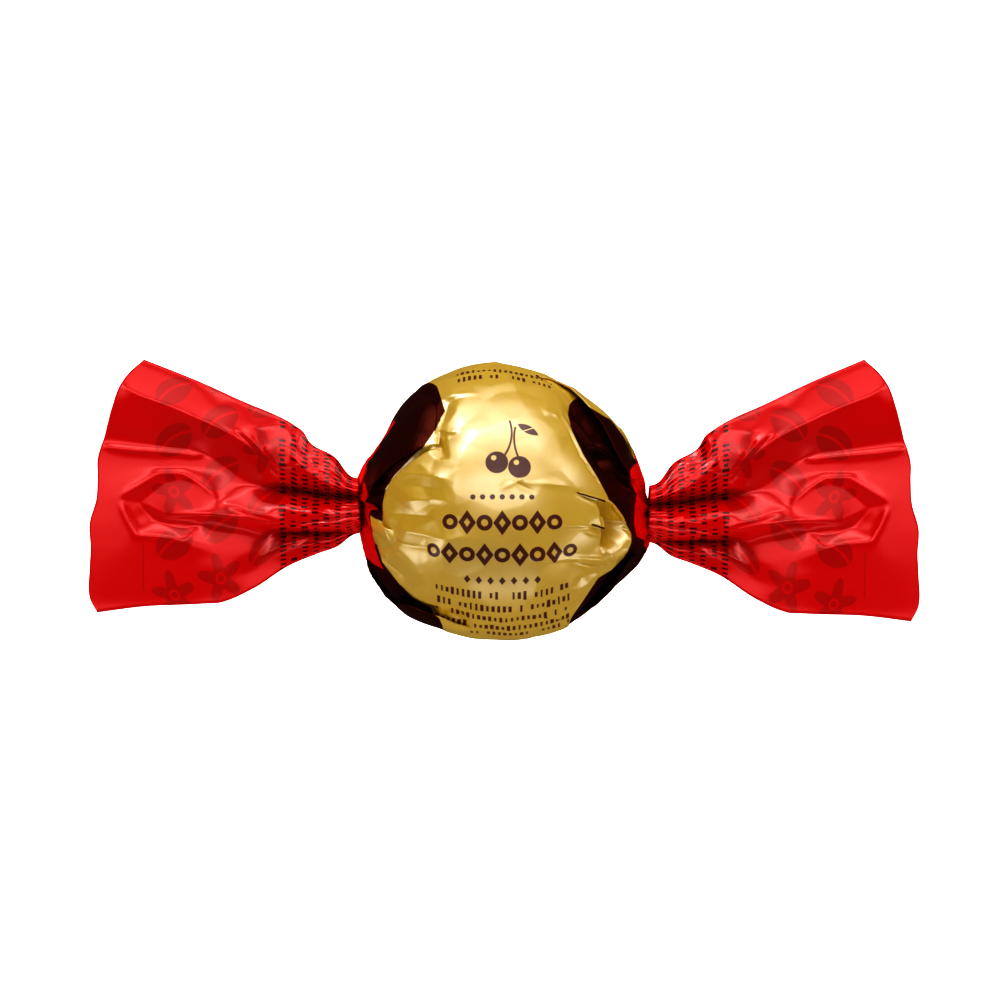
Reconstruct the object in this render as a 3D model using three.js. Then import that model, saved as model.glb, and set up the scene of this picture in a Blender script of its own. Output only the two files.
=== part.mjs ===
// A chocolate truffle shut in a twist wrapper. One sheet of film goes round the truffle, is
// pinched at both ends and spreads into two pleated tails, so the whole object is one solid.
//
// Millimetres. +X runs along the wrapper, +Y across the label and +Z up, out of the label.
// The origin lies at the height of the small flat on which the truffle rests, under the middle
// of the whole length and width.

import * as THREE from "three";
import { LoftGeometry } from "three/addons/geometries/LoftGeometry.js";

// Driving dimensions of the ball: half its length, width and height if it were a full ellipsoid.
const BALL = { halfLength: 18.8, halfWidth: 18.1, halfHeight: 17.7, middle: [-0.1, -0.3] };
const CENTRE_HEIGHT = 17.1; // of the ball above the surface: what it lacks is the flat
const NECK_ANGLE = 12; // between the X axis and the ring where the ball's skin meets a neck
const NECK_BEND = 3; // power of the share along X by which the ball's middle bends to a neck's

// Folds that run from a neck out over the ball. Each lies at a turn round the X axis, 0 on the +Y
// side and 90 up the middle of the label, laps over by its height there, and ends at its reach,
// an angle from the neck. The film's height falls off over FOLD_SPREAD on the far side.
const FOLD_SPREAD = 26;
const LEFT_FOLDS = [
  { turn: 28, height: 1.5, reach: 82 },
  { turn: 74, height: 1.2, reach: 70 },
  { turn: 122, height: 1.6, reach: 88 },
  { turn: 163, height: 1.2, reach: 72 },
  { turn: 211, height: 1.6, reach: 95 },
  { turn: 262, height: 1.0, reach: 60 },
  { turn: 317, height: 1.5, reach: 90 },
];
const RIGHT_FOLDS = [
  { turn: 14, height: 1.5, reach: 98 },
  { turn: 58, height: 1.2, reach: 76 },
  { turn: 101, height: 1.4, reach: 70 },
  { turn: 146, height: 1.3, reach: 90 },
  { turn: 196, height: 1.5, reach: 76 },
  { turn: 248, height: 1.0, reach: 60 },
  { turn: 300, height: 1.6, reach: 88 },
];
const GATHER = { pleats: 13, depth: 0.9, reach: 40 }; // the small pleats close round each neck

// The pinched necks, and the tails that spread from them. The rim lists run from the neck to the
// corner of the cut edge, along the side of the tail that is up and down as the label is read.
const NECK_HALF_WIDTH = 3.5;
const NECK_HALF_HEIGHT = 3.1;
const LEFT_TAIL = {
  neck: [-19.1, -0.45],
  upperRim: [[-23.6, 6.1], [-26.6, 9.0], [-36.0, 13.9], [-46.8, 18.3]],
  lowerRim: [[-22.9, -6.6], [-27.6, -8.6], [-37.0, -13.4], [-52.8, -14.5]],
  lift: 1.2,
};
const RIGHT_TAIL = {
  neck: [19.1, -1.5],
  upperRim: [[23.9, 5.4], [27.0, 8.2], [36.0, 13.2], [47.0, 18.3]],
  lowerRim: [[22.7, -7.0], [27.3, -9.0], [36.8, -14.4], [52.7, -15.6]],
  lift: 0.7,
};
const EDGE_BOW = 3.1; // how far the middle of the cut edge stands beyond its corners
const FLATTENING = 4; // power of the share left to the cut edge by which the neck's round dies out

// The tail's two layers of film lie close together. Both follow the same pleats, listed across
// the tail from its upper rim (0) to its lower rim (1) with each fold line's height.
const LAYER_GAP = 1.5;
const RIM_THICKNESS = 0.5;
const PLEATS = [
  { at: 0.0, height: -0.4 },
  { at: 0.13, height: 2.1 },
  { at: 0.29, height: -0.9 },
  { at: 0.38, height: 1.1 },
  { at: 0.58, height: 1.4 },
  { at: 0.7, height: -1.6 },
  { at: 0.84, height: 0.2 },
  { at: 1.0, height: -0.5 },
];
const NECK_CREASES = 5; // finer pleats, which die out along the tail
const NECK_CREASE_DEPTH = 0.7;

// How finely the film is divided.
const POINTS_ACROSS = 30; // on each of the two sides, from rim to rim
const TAIL_SECTIONS = 15;
const BALL_SECTIONS = 26;

const FILM_COLOUR = 0xd9b45a;
const FULL_TURN = 360;
const DEGREE = (2 * Math.PI) / FULL_TURN;

/** Height of the pleated film at a share of the way across the tail. */
function pleatHeight(across) {
  const next = Math.max(1, PLEATS.findIndex((pleat) => pleat.at >= across));
  const [a, b] = [PLEATS[next - 1], PLEATS[next]];
  const share = (across - a.at) / (b.at - a.at);
  return THREE.MathUtils.lerp(a.height, b.height, THREE.MathUtils.smoothstep(share, 0, 1));
}

/** A rim of the tail: the curve from one side of the neck through the listed points. */
function rimCurve(tail, side) {
  const start = [tail.neck[0], tail.neck[1] + side * NECK_HALF_WIDTH];
  const points = [start, ...(side > 0 ? tail.upperRim : tail.lowerRim)];
  return new THREE.CatmullRomCurve3(
    points.map(([x, y]) => new THREE.Vector3(x, y, 0)),
    false,
    "centripetal",
  );
}

/** Walks a closed section: over the upper side from rim to rim, then back along the underside. */
function ring(pointAt) {
  const points = [];
  for (let i = 0; i < POINTS_ACROSS; i++) points.push(pointAt(i / POINTS_ACROSS, 1));
  for (let i = POINTS_ACROSS; i > 0; i--) points.push(pointAt(i / POINTS_ACROSS, -1));
  return points;
}

/** Sections of a tail, from its neck (out = 0) to its cut edge (out = 1). */
function tailSections(tail) {
  const [upper, lower] = [rimCurve(tail, 1), rimCurve(tail, -1)];
  const outward = Math.sign(tail.neck[0]);
  return Array.from({ length: TAIL_SECTIONS }, (_, i) => {
    const out = i / (TAIL_SECTIONS - 1);
    const [top, bottom] = [upper.getPointAt(out), lower.getPointAt(out)];
    const round = (1 - out) ** FLATTENING; // how much the section is still the round neck's
    return ring((across, side) => {
      const onCircle = (1 - Math.cos(Math.PI * across)) / 2;
      const point = top.clone().lerp(bottom, THREE.MathUtils.lerp(across, onCircle, round));
      const arch = Math.sin(Math.PI * across);
      point.x += outward * EDGE_BOW * out ** 2 * Math.sqrt(arch);
      const crease = Math.abs(Math.sin(NECK_CREASES * Math.PI * across)) * NECK_CREASE_DEPTH;
      const flat = pleatHeight(across) * Math.sqrt(out)
        + side * (RIM_THICKNESS + (LAYER_GAP - RIM_THICKNESS) * Math.sqrt(arch)) / 2;
      const bunched = side * (NECK_HALF_HEIGHT * arch - crease * arch + RIM_THICKNESS / 4);
      point.z = CENTRE_HEIGHT + tail.lift * out + THREE.MathUtils.lerp(flat, bunched, round);
      return point;
    });
  });
}

/** How far the folds from one neck pull the film in, at a turn and an angle from the neck. */
function foldDepth(folds, turn, fromNeck) {
  let depth = 0;
  for (const fold of folds) {
    const past = THREE.MathUtils.euclideanModulo(turn - fold.turn, FULL_TURN);
    const fallen = Math.exp(-(FULL_TURN - past) / FOLD_SPREAD);
    depth += fold.height * fallen * (1 - THREE.MathUtils.smoothstep(fromNeck, 0, fold.reach));
  }
  const pleat = Math.abs(Math.sin((GATHER.pleats * turn * DEGREE) / 2));
  return depth + GATHER.depth * pleat * (1 - THREE.MathUtils.smoothstep(fromNeck, 0, GATHER.reach));
}

/** Sections of the ball, from its left neck to its right one. */
function ballSections() {
  return Array.from({ length: BALL_SECTIONS }, (_, i) => {
    const polar = NECK_ANGLE + ((FULL_TURN / 2 - 2 * NECK_ANGLE) * i) / (BALL_SECTIONS - 1);
    const [alongX, outFromX] = [-Math.cos(polar * DEGREE), Math.sin(polar * DEGREE)];
    const neck = alongX < 0 ? LEFT_TAIL.neck : RIGHT_TAIL.neck;
    const middleY = THREE.MathUtils.lerp(BALL.middle[1], neck[1], Math.abs(alongX) ** NECK_BEND);
    return ring((across, side) => {
      const turn = side * Math.PI * across;
      const degrees = THREE.MathUtils.euclideanModulo(turn / DEGREE, FULL_TURN);
      const drawnIn = foldDepth(LEFT_FOLDS, degrees, polar)
        + foldDepth(RIGHT_FOLDS, degrees, FULL_TURN / 2 - polar);
      const y = (BALL.halfWidth - drawnIn) * outFromX * Math.cos(turn);
      const z = (BALL.halfHeight - drawnIn) * outFromX * Math.sin(turn);
      return new THREE.Vector3(
        BALL.middle[0] + BALL.halfLength * alongX,
        middleY + y,
        Math.max(0, CENTRE_HEIGHT + z),
      );
    });
  });
}

/** The film from cut edge to cut edge as one closed skin over the truffle and the tails. */
function wrapperGeometry() {
  const sections = [
    ...tailSections(LEFT_TAIL).reverse(),
    ...ballSections(),
    ...tailSections(RIGHT_TAIL),
  ];
  return new LoftGeometry(sections, { capStart: true, capEnd: true });
}

const film = new THREE.MeshStandardMaterial({
  color: FILM_COLOUR,
  roughness: 0.35,
  metalness: 0.6,
});
const wrappedTruffle = new THREE.Mesh(wrapperGeometry(), film);
wrappedTruffle.name = "wrapped_truffle";

const sweet = new THREE.Group();
sweet.add(wrappedTruffle);

export default sweet;
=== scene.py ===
"""Looks of a chocolate truffle shut in a twist wrapper of printed film.

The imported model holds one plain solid. The pieces made here stand for it: the skin of film over
the ball, the folds of film that lie on it, and the two pleated tails. All lengths are millimetres
until a mesh is made. +X runs along the wrapper, +Y across the label and +Z up, out of the label.
"""
import logging
import math
from dataclasses import dataclass
from enum import Enum
from functools import reduce
from typing import Iterable, Sequence

import bpy
import numpy as np
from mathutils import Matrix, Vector
from mathutils.geometry import delaunay_2d_cdt


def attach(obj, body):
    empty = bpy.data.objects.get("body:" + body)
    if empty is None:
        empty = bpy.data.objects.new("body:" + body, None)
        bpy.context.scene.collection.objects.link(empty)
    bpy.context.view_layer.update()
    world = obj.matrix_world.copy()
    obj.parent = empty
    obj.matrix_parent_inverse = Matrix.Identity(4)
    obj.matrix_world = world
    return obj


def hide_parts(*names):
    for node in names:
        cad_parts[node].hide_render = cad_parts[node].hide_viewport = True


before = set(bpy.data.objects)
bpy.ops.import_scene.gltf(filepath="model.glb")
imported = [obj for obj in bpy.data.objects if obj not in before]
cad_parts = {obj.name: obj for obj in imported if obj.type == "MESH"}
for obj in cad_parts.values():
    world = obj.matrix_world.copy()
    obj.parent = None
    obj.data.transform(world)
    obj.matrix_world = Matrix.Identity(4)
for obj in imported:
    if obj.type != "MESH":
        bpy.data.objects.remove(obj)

log = logging.getLogger("truffle")

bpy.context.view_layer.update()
NODE = "wrapped_truffle"
BODY = "root"
MM = 0.001
TINY = 1e-12  # keeps a division by a length of nothing from failing
SLIVER = 1e-6  # share or area below which a triangle counts as touched or as empty
MERGE = 1e-5  # distance below which corners of a net are one

# The photograph looks straight down: one of its pixels is this many millimetres, and the plan's
# middle lies at this pixel.
PIXEL = 0.13
MIDDLE_PIXEL = (503, 500)

Array = np.ndarray
Route = Sequence[tuple[float, ...]]


# --- numbers and curves -------------------------------------------------------------------------


def smoothstep(low: float, high: float, value: Array) -> Array:
    """Rise from 0 at low to 1 at high, as 3 s^2 - 2 s^3 of the share s between them.

    Args:
        low: where the rise starts.
        high: where it ends, which may be below low for a fall.
        value: the numbers to turn into shares.

    Returns:
        The risen shares, from 0 to 1.
    """
    share = np.clip((value - low) / (high - low), 0.0, 1.0)
    return share * share * (3.0 - 2.0 * share)


def unit(vectors: Array) -> Array:
    """Return vectors scaled to length 1 along their last axis."""
    return vectors / np.maximum(np.linalg.norm(vectors, axis=-1, keepdims=True), TINY)


def soften(values: Array, passes: int, wraps: bool = False) -> Array:
    """Round off a grid of heights by repeated averaging, a quarter, a half and a quarter.

    Args:
        values: a grid, rounded along its rows and its columns.
        passes: how many times each cell is averaged with its neighbours.
        wraps: whether the last column lies next to the first.

    Returns:
        The rounded grid.
    """
    mode = "wrap" if wraps else "edge"
    for _ in range(passes):
        rows = np.pad(values, ((1, 1), (0, 0)), mode="edge")
        values = rows[:-2] / 4 + rows[1:-1] / 2 + rows[2:] / 4
        columns = np.pad(values, ((0, 0), (1, 1)), mode=mode)
        values = columns[:, :-2] / 4 + columns[:, 1:-1] / 2 + columns[:, 2:] / 4
    return values


def curve_through(points: Route, count: int) -> Array:
    """Sample a smooth curve through points, a cubic Hermite curve over their chord lengths.

    Args:
        points: the points in order.
        count: how many samples, evenly spaced along the chords.

    Returns:
        The samples, one row each.
    """
    knots = np.asarray(points, float)
    chord = np.r_[0.0, np.cumsum(np.linalg.norm(np.diff(knots, axis=0), axis=1))]
    slope = np.gradient(knots, chord, axis=0)
    wanted = np.linspace(0.0, chord[-1], count)
    start = np.clip(np.searchsorted(chord, wanted, side="right") - 1, 0, len(knots) - 2)
    span = (chord[start + 1] - chord[start])[:, None]
    share = (wanted - chord[start])[:, None] / span
    square, cube = share**2, share**3
    return (
        (2 * cube - 3 * square + 1) * knots[start]
        + (cube - 2 * square + share) * span * slope[start]
        + (3 * square - 2 * cube) * knots[start + 1]
        + (cube - square) * span * slope[start + 1]
    )


def from_photo(*places: tuple[float, ...]) -> Route:
    """Turn pixels of the photograph into places in the plan.

    Args:
        places: pixels across and down, each with a height or nothing after it.

    Returns:
        The places, each followed by what followed its pixel.
    """
    x_middle, y_middle = MIDDLE_PIXEL
    return tuple(
        ((x - x_middle) * PIXEL, (y_middle - y) * PIXEL, *rest) for x, y, *rest in places
    )


@dataclass(frozen=True)
class Nearest:
    """How points lie to a broken line: distance, share along it, and side (+1 left, -1 right)."""

    distance: Array
    share: Array
    side: Array


def nearest_on(route: Array, points: Array, normals: Array | None = None) -> Nearest:
    """Find the nearest place on a broken line to each point.

    For each stretch the point is dropped onto it, and the shortest drop wins. Left is the side of
    the stretch's direction crossed with the drop, seen against the normals.

    Args:
        route: corners of the line, in two or three dimensions.
        points: the points, one row each.
        normals: the surface's normal at each point, where the line is in three dimensions.

    Returns:
        Distance, share and side of every point.
    """
    best = np.full(len(points), np.inf)
    share = np.zeros(len(points))
    side = np.ones(len(points))
    lengths = np.linalg.norm(np.diff(route, axis=0), axis=1)
    begins = np.r_[0.0, np.cumsum(lengths)]
    for corner, step, length, begin in zip(route[:-1], np.diff(route, axis=0), lengths, begins):
        along = np.clip((points - corner) @ step / length**2, 0.0, 1.0)
        gap = points - corner - along[:, None] * step
        distance = np.linalg.norm(gap, axis=1)
        nearer = distance < best
        best = np.where(nearer, distance, best)
        share = np.where(nearer, (begin + along * length) / begins[-1], share)
        if normals is None:
            turn = step[0] * gap[:, 1] - step[1] * gap[:, 0]
        else:
            turn = (np.cross(step, gap) * normals).sum(axis=1)
        side = np.where(nearer, np.where(turn >= 0, 1.0, -1.0), side)
    return Nearest(best, share, side)


def inside(outline: Route, points: Array) -> Array:
    """Signed distance of points to a closed outline, positive inside it.

    The sign comes from how often a ray to +X crosses the outline.

    Args:
        outline: corners of the outline, in the plan.
        points: the points, in the plan.

    Returns:
        One distance for each point.
    """
    corners = np.asarray(outline, float)
    closed = np.vstack([corners, corners[:1]])
    crossed = np.zeros(len(points), bool)
    for (x0, y0), (x1, y1) in zip(closed[:-1], closed[1:]):
        if y0 == y1:
            continue
        spans = (y0 > points[:, 1]) != (y1 > points[:, 1])
        crossing = x0 + (points[:, 1] - y0) * (x1 - x0) / (y1 - y0)
        crossed ^= spans & (points[:, 0] < crossing)
    return nearest_on(closed, points).distance * np.where(crossed, 1.0, -1.0)


# --- meshes -------------------------------------------------------------------------------------


def grid_faces(rows: int, columns: int, wraps: bool) -> Array:
    """Return the four corners of every cell of a grid of points.

    Args:
        rows: how many rows of points there are.
        columns: how many points a row has.
        wraps: whether each row closes on itself.

    Returns:
        The corners of the cells as numbers of points, row by row.
    """
    last = columns if wraps else columns - 1
    row, column = np.meshgrid(np.arange(rows - 1), np.arange(last), indexing="ij")
    beside = (column + 1) % columns
    corners = [
        row * columns + column,
        row * columns + beside,
        (row + 1) * columns + beside,
        (row + 1) * columns + column,
    ]
    return np.stack(corners, axis=-1).reshape(-1, 4)


def enclosed_volume(points: Array, faces: Array) -> float:
    """Return the volume inside four-sided faces.

    It is the sum of the tetrahedra from the origin to the two triangles of each face.

    Args:
        points: the points.
        faces: the faces' corners as numbers of points.

    Returns:
        The volume, negative where the faces point inwards.
    """
    a, b, c, d = (points[faces[:, corner]] for corner in range(4))
    tetrahedra = (a * np.cross(b, c)).sum(axis=1) + (a * np.cross(c, d)).sum(axis=1)
    return float(tetrahedra.sum() / 6.0)


def make_piece(
    name: str,
    points: Array,
    faces: Array,
    marks: dict[str, Array],
    material: bpy.types.Material,
) -> bpy.types.Object:
    """Put a closed surface into the scene as a piece of the wrapper.

    Its faces are turned outwards where they enclose a negative volume.

    Args:
        name: the piece's name.
        points: its points, in millimetres.
        faces: its four-sided faces. One with a corner that is given twice has three sides.
        marks: numbers or vectors that its material reads, one for each point.
        material: its finish.

    Returns:
        The object, riding on the wrapper's body.
    """
    if enclosed_volume(points, faces) < 0:
        faces = faces[:, ::-1]
    single = np.ones(faces.shape, bool)
    single[:, 1:] = faces[:, 1:] != faces[:, :-1]
    sides = single.sum(axis=1)
    mesh = bpy.data.meshes.new(name)
    mesh.vertices.add(len(points))
    mesh.vertices.foreach_set("co", (points * MM).astype(np.float32).ravel())
    mesh.loops.add(int(sides.sum()))
    mesh.loops.foreach_set("vertex_index", faces[single].astype(np.int32))
    mesh.polygons.add(len(faces))
    mesh.polygons.foreach_set("loop_start", (np.cumsum(sides) - sides).astype(np.int32))
    mesh.update(calc_edges=True)
    for mark, values in marks.items():
        flat = values.ndim == 1
        attribute = mesh.attributes.new(mark, "FLOAT" if flat else "FLOAT_VECTOR", "POINT")
        attribute.data.foreach_set("value" if flat else "vector", values.astype(np.float32).ravel())
    mesh.materials.append(material)
    mesh.shade_smooth()
    mesh.validate()
    mesh.update()
    piece = bpy.data.objects.new(name, mesh)
    bpy.context.scene.collection.objects.link(piece)
    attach(piece, BODY)
    log.info("%s: %d points, %d faces", name, len(points), len(faces))
    return piece


# --- the film over the ball ---------------------------------------------------------------------


class Side(Enum):
    """Which half of the ball a place in the plan is on."""

    FRONT = 1.0
    BACK = -1.0


class Ink(Enum):
    """What the film is printed with."""

    GOLD = "bare gold"
    BROWN = "dark brown"
    RED = "red"


class Profile(Enum):
    """The section of a crease in the film."""

    RIDGE = "ridge"
    VALLEY = "valley"
    LAP = "lap"


@dataclass(frozen=True)
class Crease:
    """A crease in the film over the ball.

    Attributes:
        route: places along it, in the plan.
        profile: its section. A lap is high on the left of the route and drops on its right.
        height: how far it stands out or goes in.
        width: how far from the route it falls to about a third.
        side: the half of the ball that it is on.
    """

    route: Route
    profile: Profile
    height: float
    width: float
    side: Side = Side.FRONT


# The label's gold field as it shows in the plan. It runs past the ball's outline at the top and
# the bottom, where the next labels of the printed strip join on.
GOLD_FIELD = (
    (-11.4, 15.6), (-9.4, 14.6), (-8.4, 14.4), (-7.9, 12.9), (-7.4, 11.3), (-7.9, 10.5),
    (-8.7, 8.7), (-10.1, 7.0), (-12.6, 4.5), (-13.9, 3.2), (-15.1, 1.4), (-15.4, -0.5),
    (-15.4, -2.8), (-16.5, -2.3), (-16.5, -4.8), (-15.5, -8.0), (-12.9, -11.3), (-11.5, -12.7),
    (-9.2, -13.9), (-8.9, -15.1), (-7.7, -16.6), (-7.4, -18.9), (0.3, -21.4), (8.2, -18.9),
    (8.5, -16.3), (8.9, -15.0), (10.7, -12.3), (12.2, -10.0), (14.2, -8.8), (15.6, -7.4),
    (16.4, -5.4), (16.4, -4.3), (15.6, -2.8), (14.0, -1.2), (13.2, 0.7), (11.9, 3.1),
    (10.2, 5.8), (8.8, 8.8), (8.3, 10.9), (8.5, 12.2), (9.0, 12.8), (12.6, 15.0),
    (17.8, 17.6), (0.3, 21.4),
)
RED_FIELDS = (
    (
        (-19.6, 5.9), (-18.5, 3.0), (-17.7, 2.0), (-17.3, 0.6), (-17.8, -0.3), (-16.7, -0.6),
        (-16.0, -1.2), (-17.0, -1.3), (-17.3, -1.9), (-17.1, -2.9), (-16.8, -4.5), (-16.4, -6.3),
        (-15.7, -8.2), (-15.4, -9.0), (-16.8, -8.2), (-17.7, -7.4), (-19.2, -5.9),
    ),
    (
        (-13.8, 10.1), (-15.0, 8.3), (-16.0, 7.0), (-17.4, 5.2), (-19.2, 3.9), (-19.9, 7.8),
        (-16.0, 11.7),
    ),
    (
        (17.0, 6.0), (17.5, 4.9), (16.7, 4.4), (16.3, 3.8), (16.3, 3.0), (16.5, 2.0),
        (17.2, 0.7), (16.9, -0.7), (16.8, -3.1), (17.2, -4.7), (18.5, -5.3), (20.4, -5.3),
        (21.1, 0.0), (19.8, 6.5),
    ),
)

CREASES = (
    # soft pleats that run in from the necks across the label
    Crease(((-14.4, 3.3), (-11.0, 3.3), (-8.0, 2.8), (-5.0, 2.0)), Profile.RIDGE, 0.28, 1.0),
    Crease(((-14.6, 1.9), (-11.0, 1.8), (-7.0, 1.2)), Profile.VALLEY, 0.2, 0.9),
    Crease(((-15.0, -0.4), (-12.0, -0.2), (-9.0, 0.1), (-5.5, -0.4)), Profile.RIDGE, 0.28, 1.0),
    Crease(((-15.0, -1.6), (-12.0, -1.9), (-8.0, -2.2)), Profile.VALLEY, 0.2, 0.7),
    Crease(((-15.2, -3.4), (-11.0, -4.2), (-7.5, -4.9), (-4.0, -4.6)), Profile.RIDGE, 0.3, 0.9),
    Crease(((-15.4, -4.9), (-11.0, -6.0), (-7.0, -6.3)), Profile.VALLEY, 0.25, 0.8),
    Crease(((1.6, 2.3), (4.8, 2.1), (8.7, 1.7)), Profile.RIDGE, 0.22, 0.45),
    Crease(((-0.9, 1.2), (1.6, 2.3), (3.5, 3.3)), Profile.RIDGE, 0.22, 0.35),
    Crease(((0.2, 2.9), (1.6, 2.2), (4.3, 0.8)), Profile.VALLEY, 0.2, 0.35),
    Crease(((-7.8, 12.65), (-5.8, 13.2), (-4.2, 13.4), (-2.8, 13.6)), Profile.LAP, 0.22, 1.0),
    Crease(((-8.0, 8.85), (-7.0, 8.7), (-5.4, 8.8)), Profile.LAP, 0.18, 0.6),
    Crease(((4.8, -3.6), (8.4, -3.3), (11.6, -3.4)), Profile.LAP, 0.2, 1.2),
    Crease(((5.0, 10.8), (6.4, 10.9), (7.3, 10.2)), Profile.LAP, 0.2, 0.8),
    Crease(((2.5, -7.0), (5.5, -7.6), (8.4, -7.7)), Profile.LAP, 0.25, 0.9),
    Crease(((11.8, -8.7), (12.0, -9.8)), Profile.VALLEY, 0.25, 0.2),
    # under the free edges of the two flaps beside the right corner
    Crease(from_photo((570, 492), (581, 496.2), (588, 498.8), (595, 500.9), (603, 503.6),
                      (612, 507)), Profile.VALLEY, 0.3, 0.25),
    Crease(from_photo((584, 523.5), (592, 526.5), (597, 528.2), (602, 529.7), (608, 531.5)),
           Profile.VALLEY, 0.25, 0.25),
    # along the upper and lower edges of the label
    Crease(((-8.0, 15.6), (-3.5, 16.2), (1.0, 17.2)), Profile.RIDGE, 0.2, 0.6),
    Crease(((3.0, 17.2), (5.5, 15.8), (7.8, 13.9)), Profile.VALLEY, 0.6, 0.6),
    Crease(((-7.5, -13.4), (-4.3, -15.8)), Profile.VALLEY, 0.3, 0.5),
    Crease(((2.0, -14.4), (6.0, -15.0), (9.0, -15.1)), Profile.LAP, 0.3, 0.8),
    Crease(((5.5, -16.6), (7.6, -16.2), (9.4, -15.6)), Profile.RIDGE, 0.2, 0.4),
)

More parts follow.
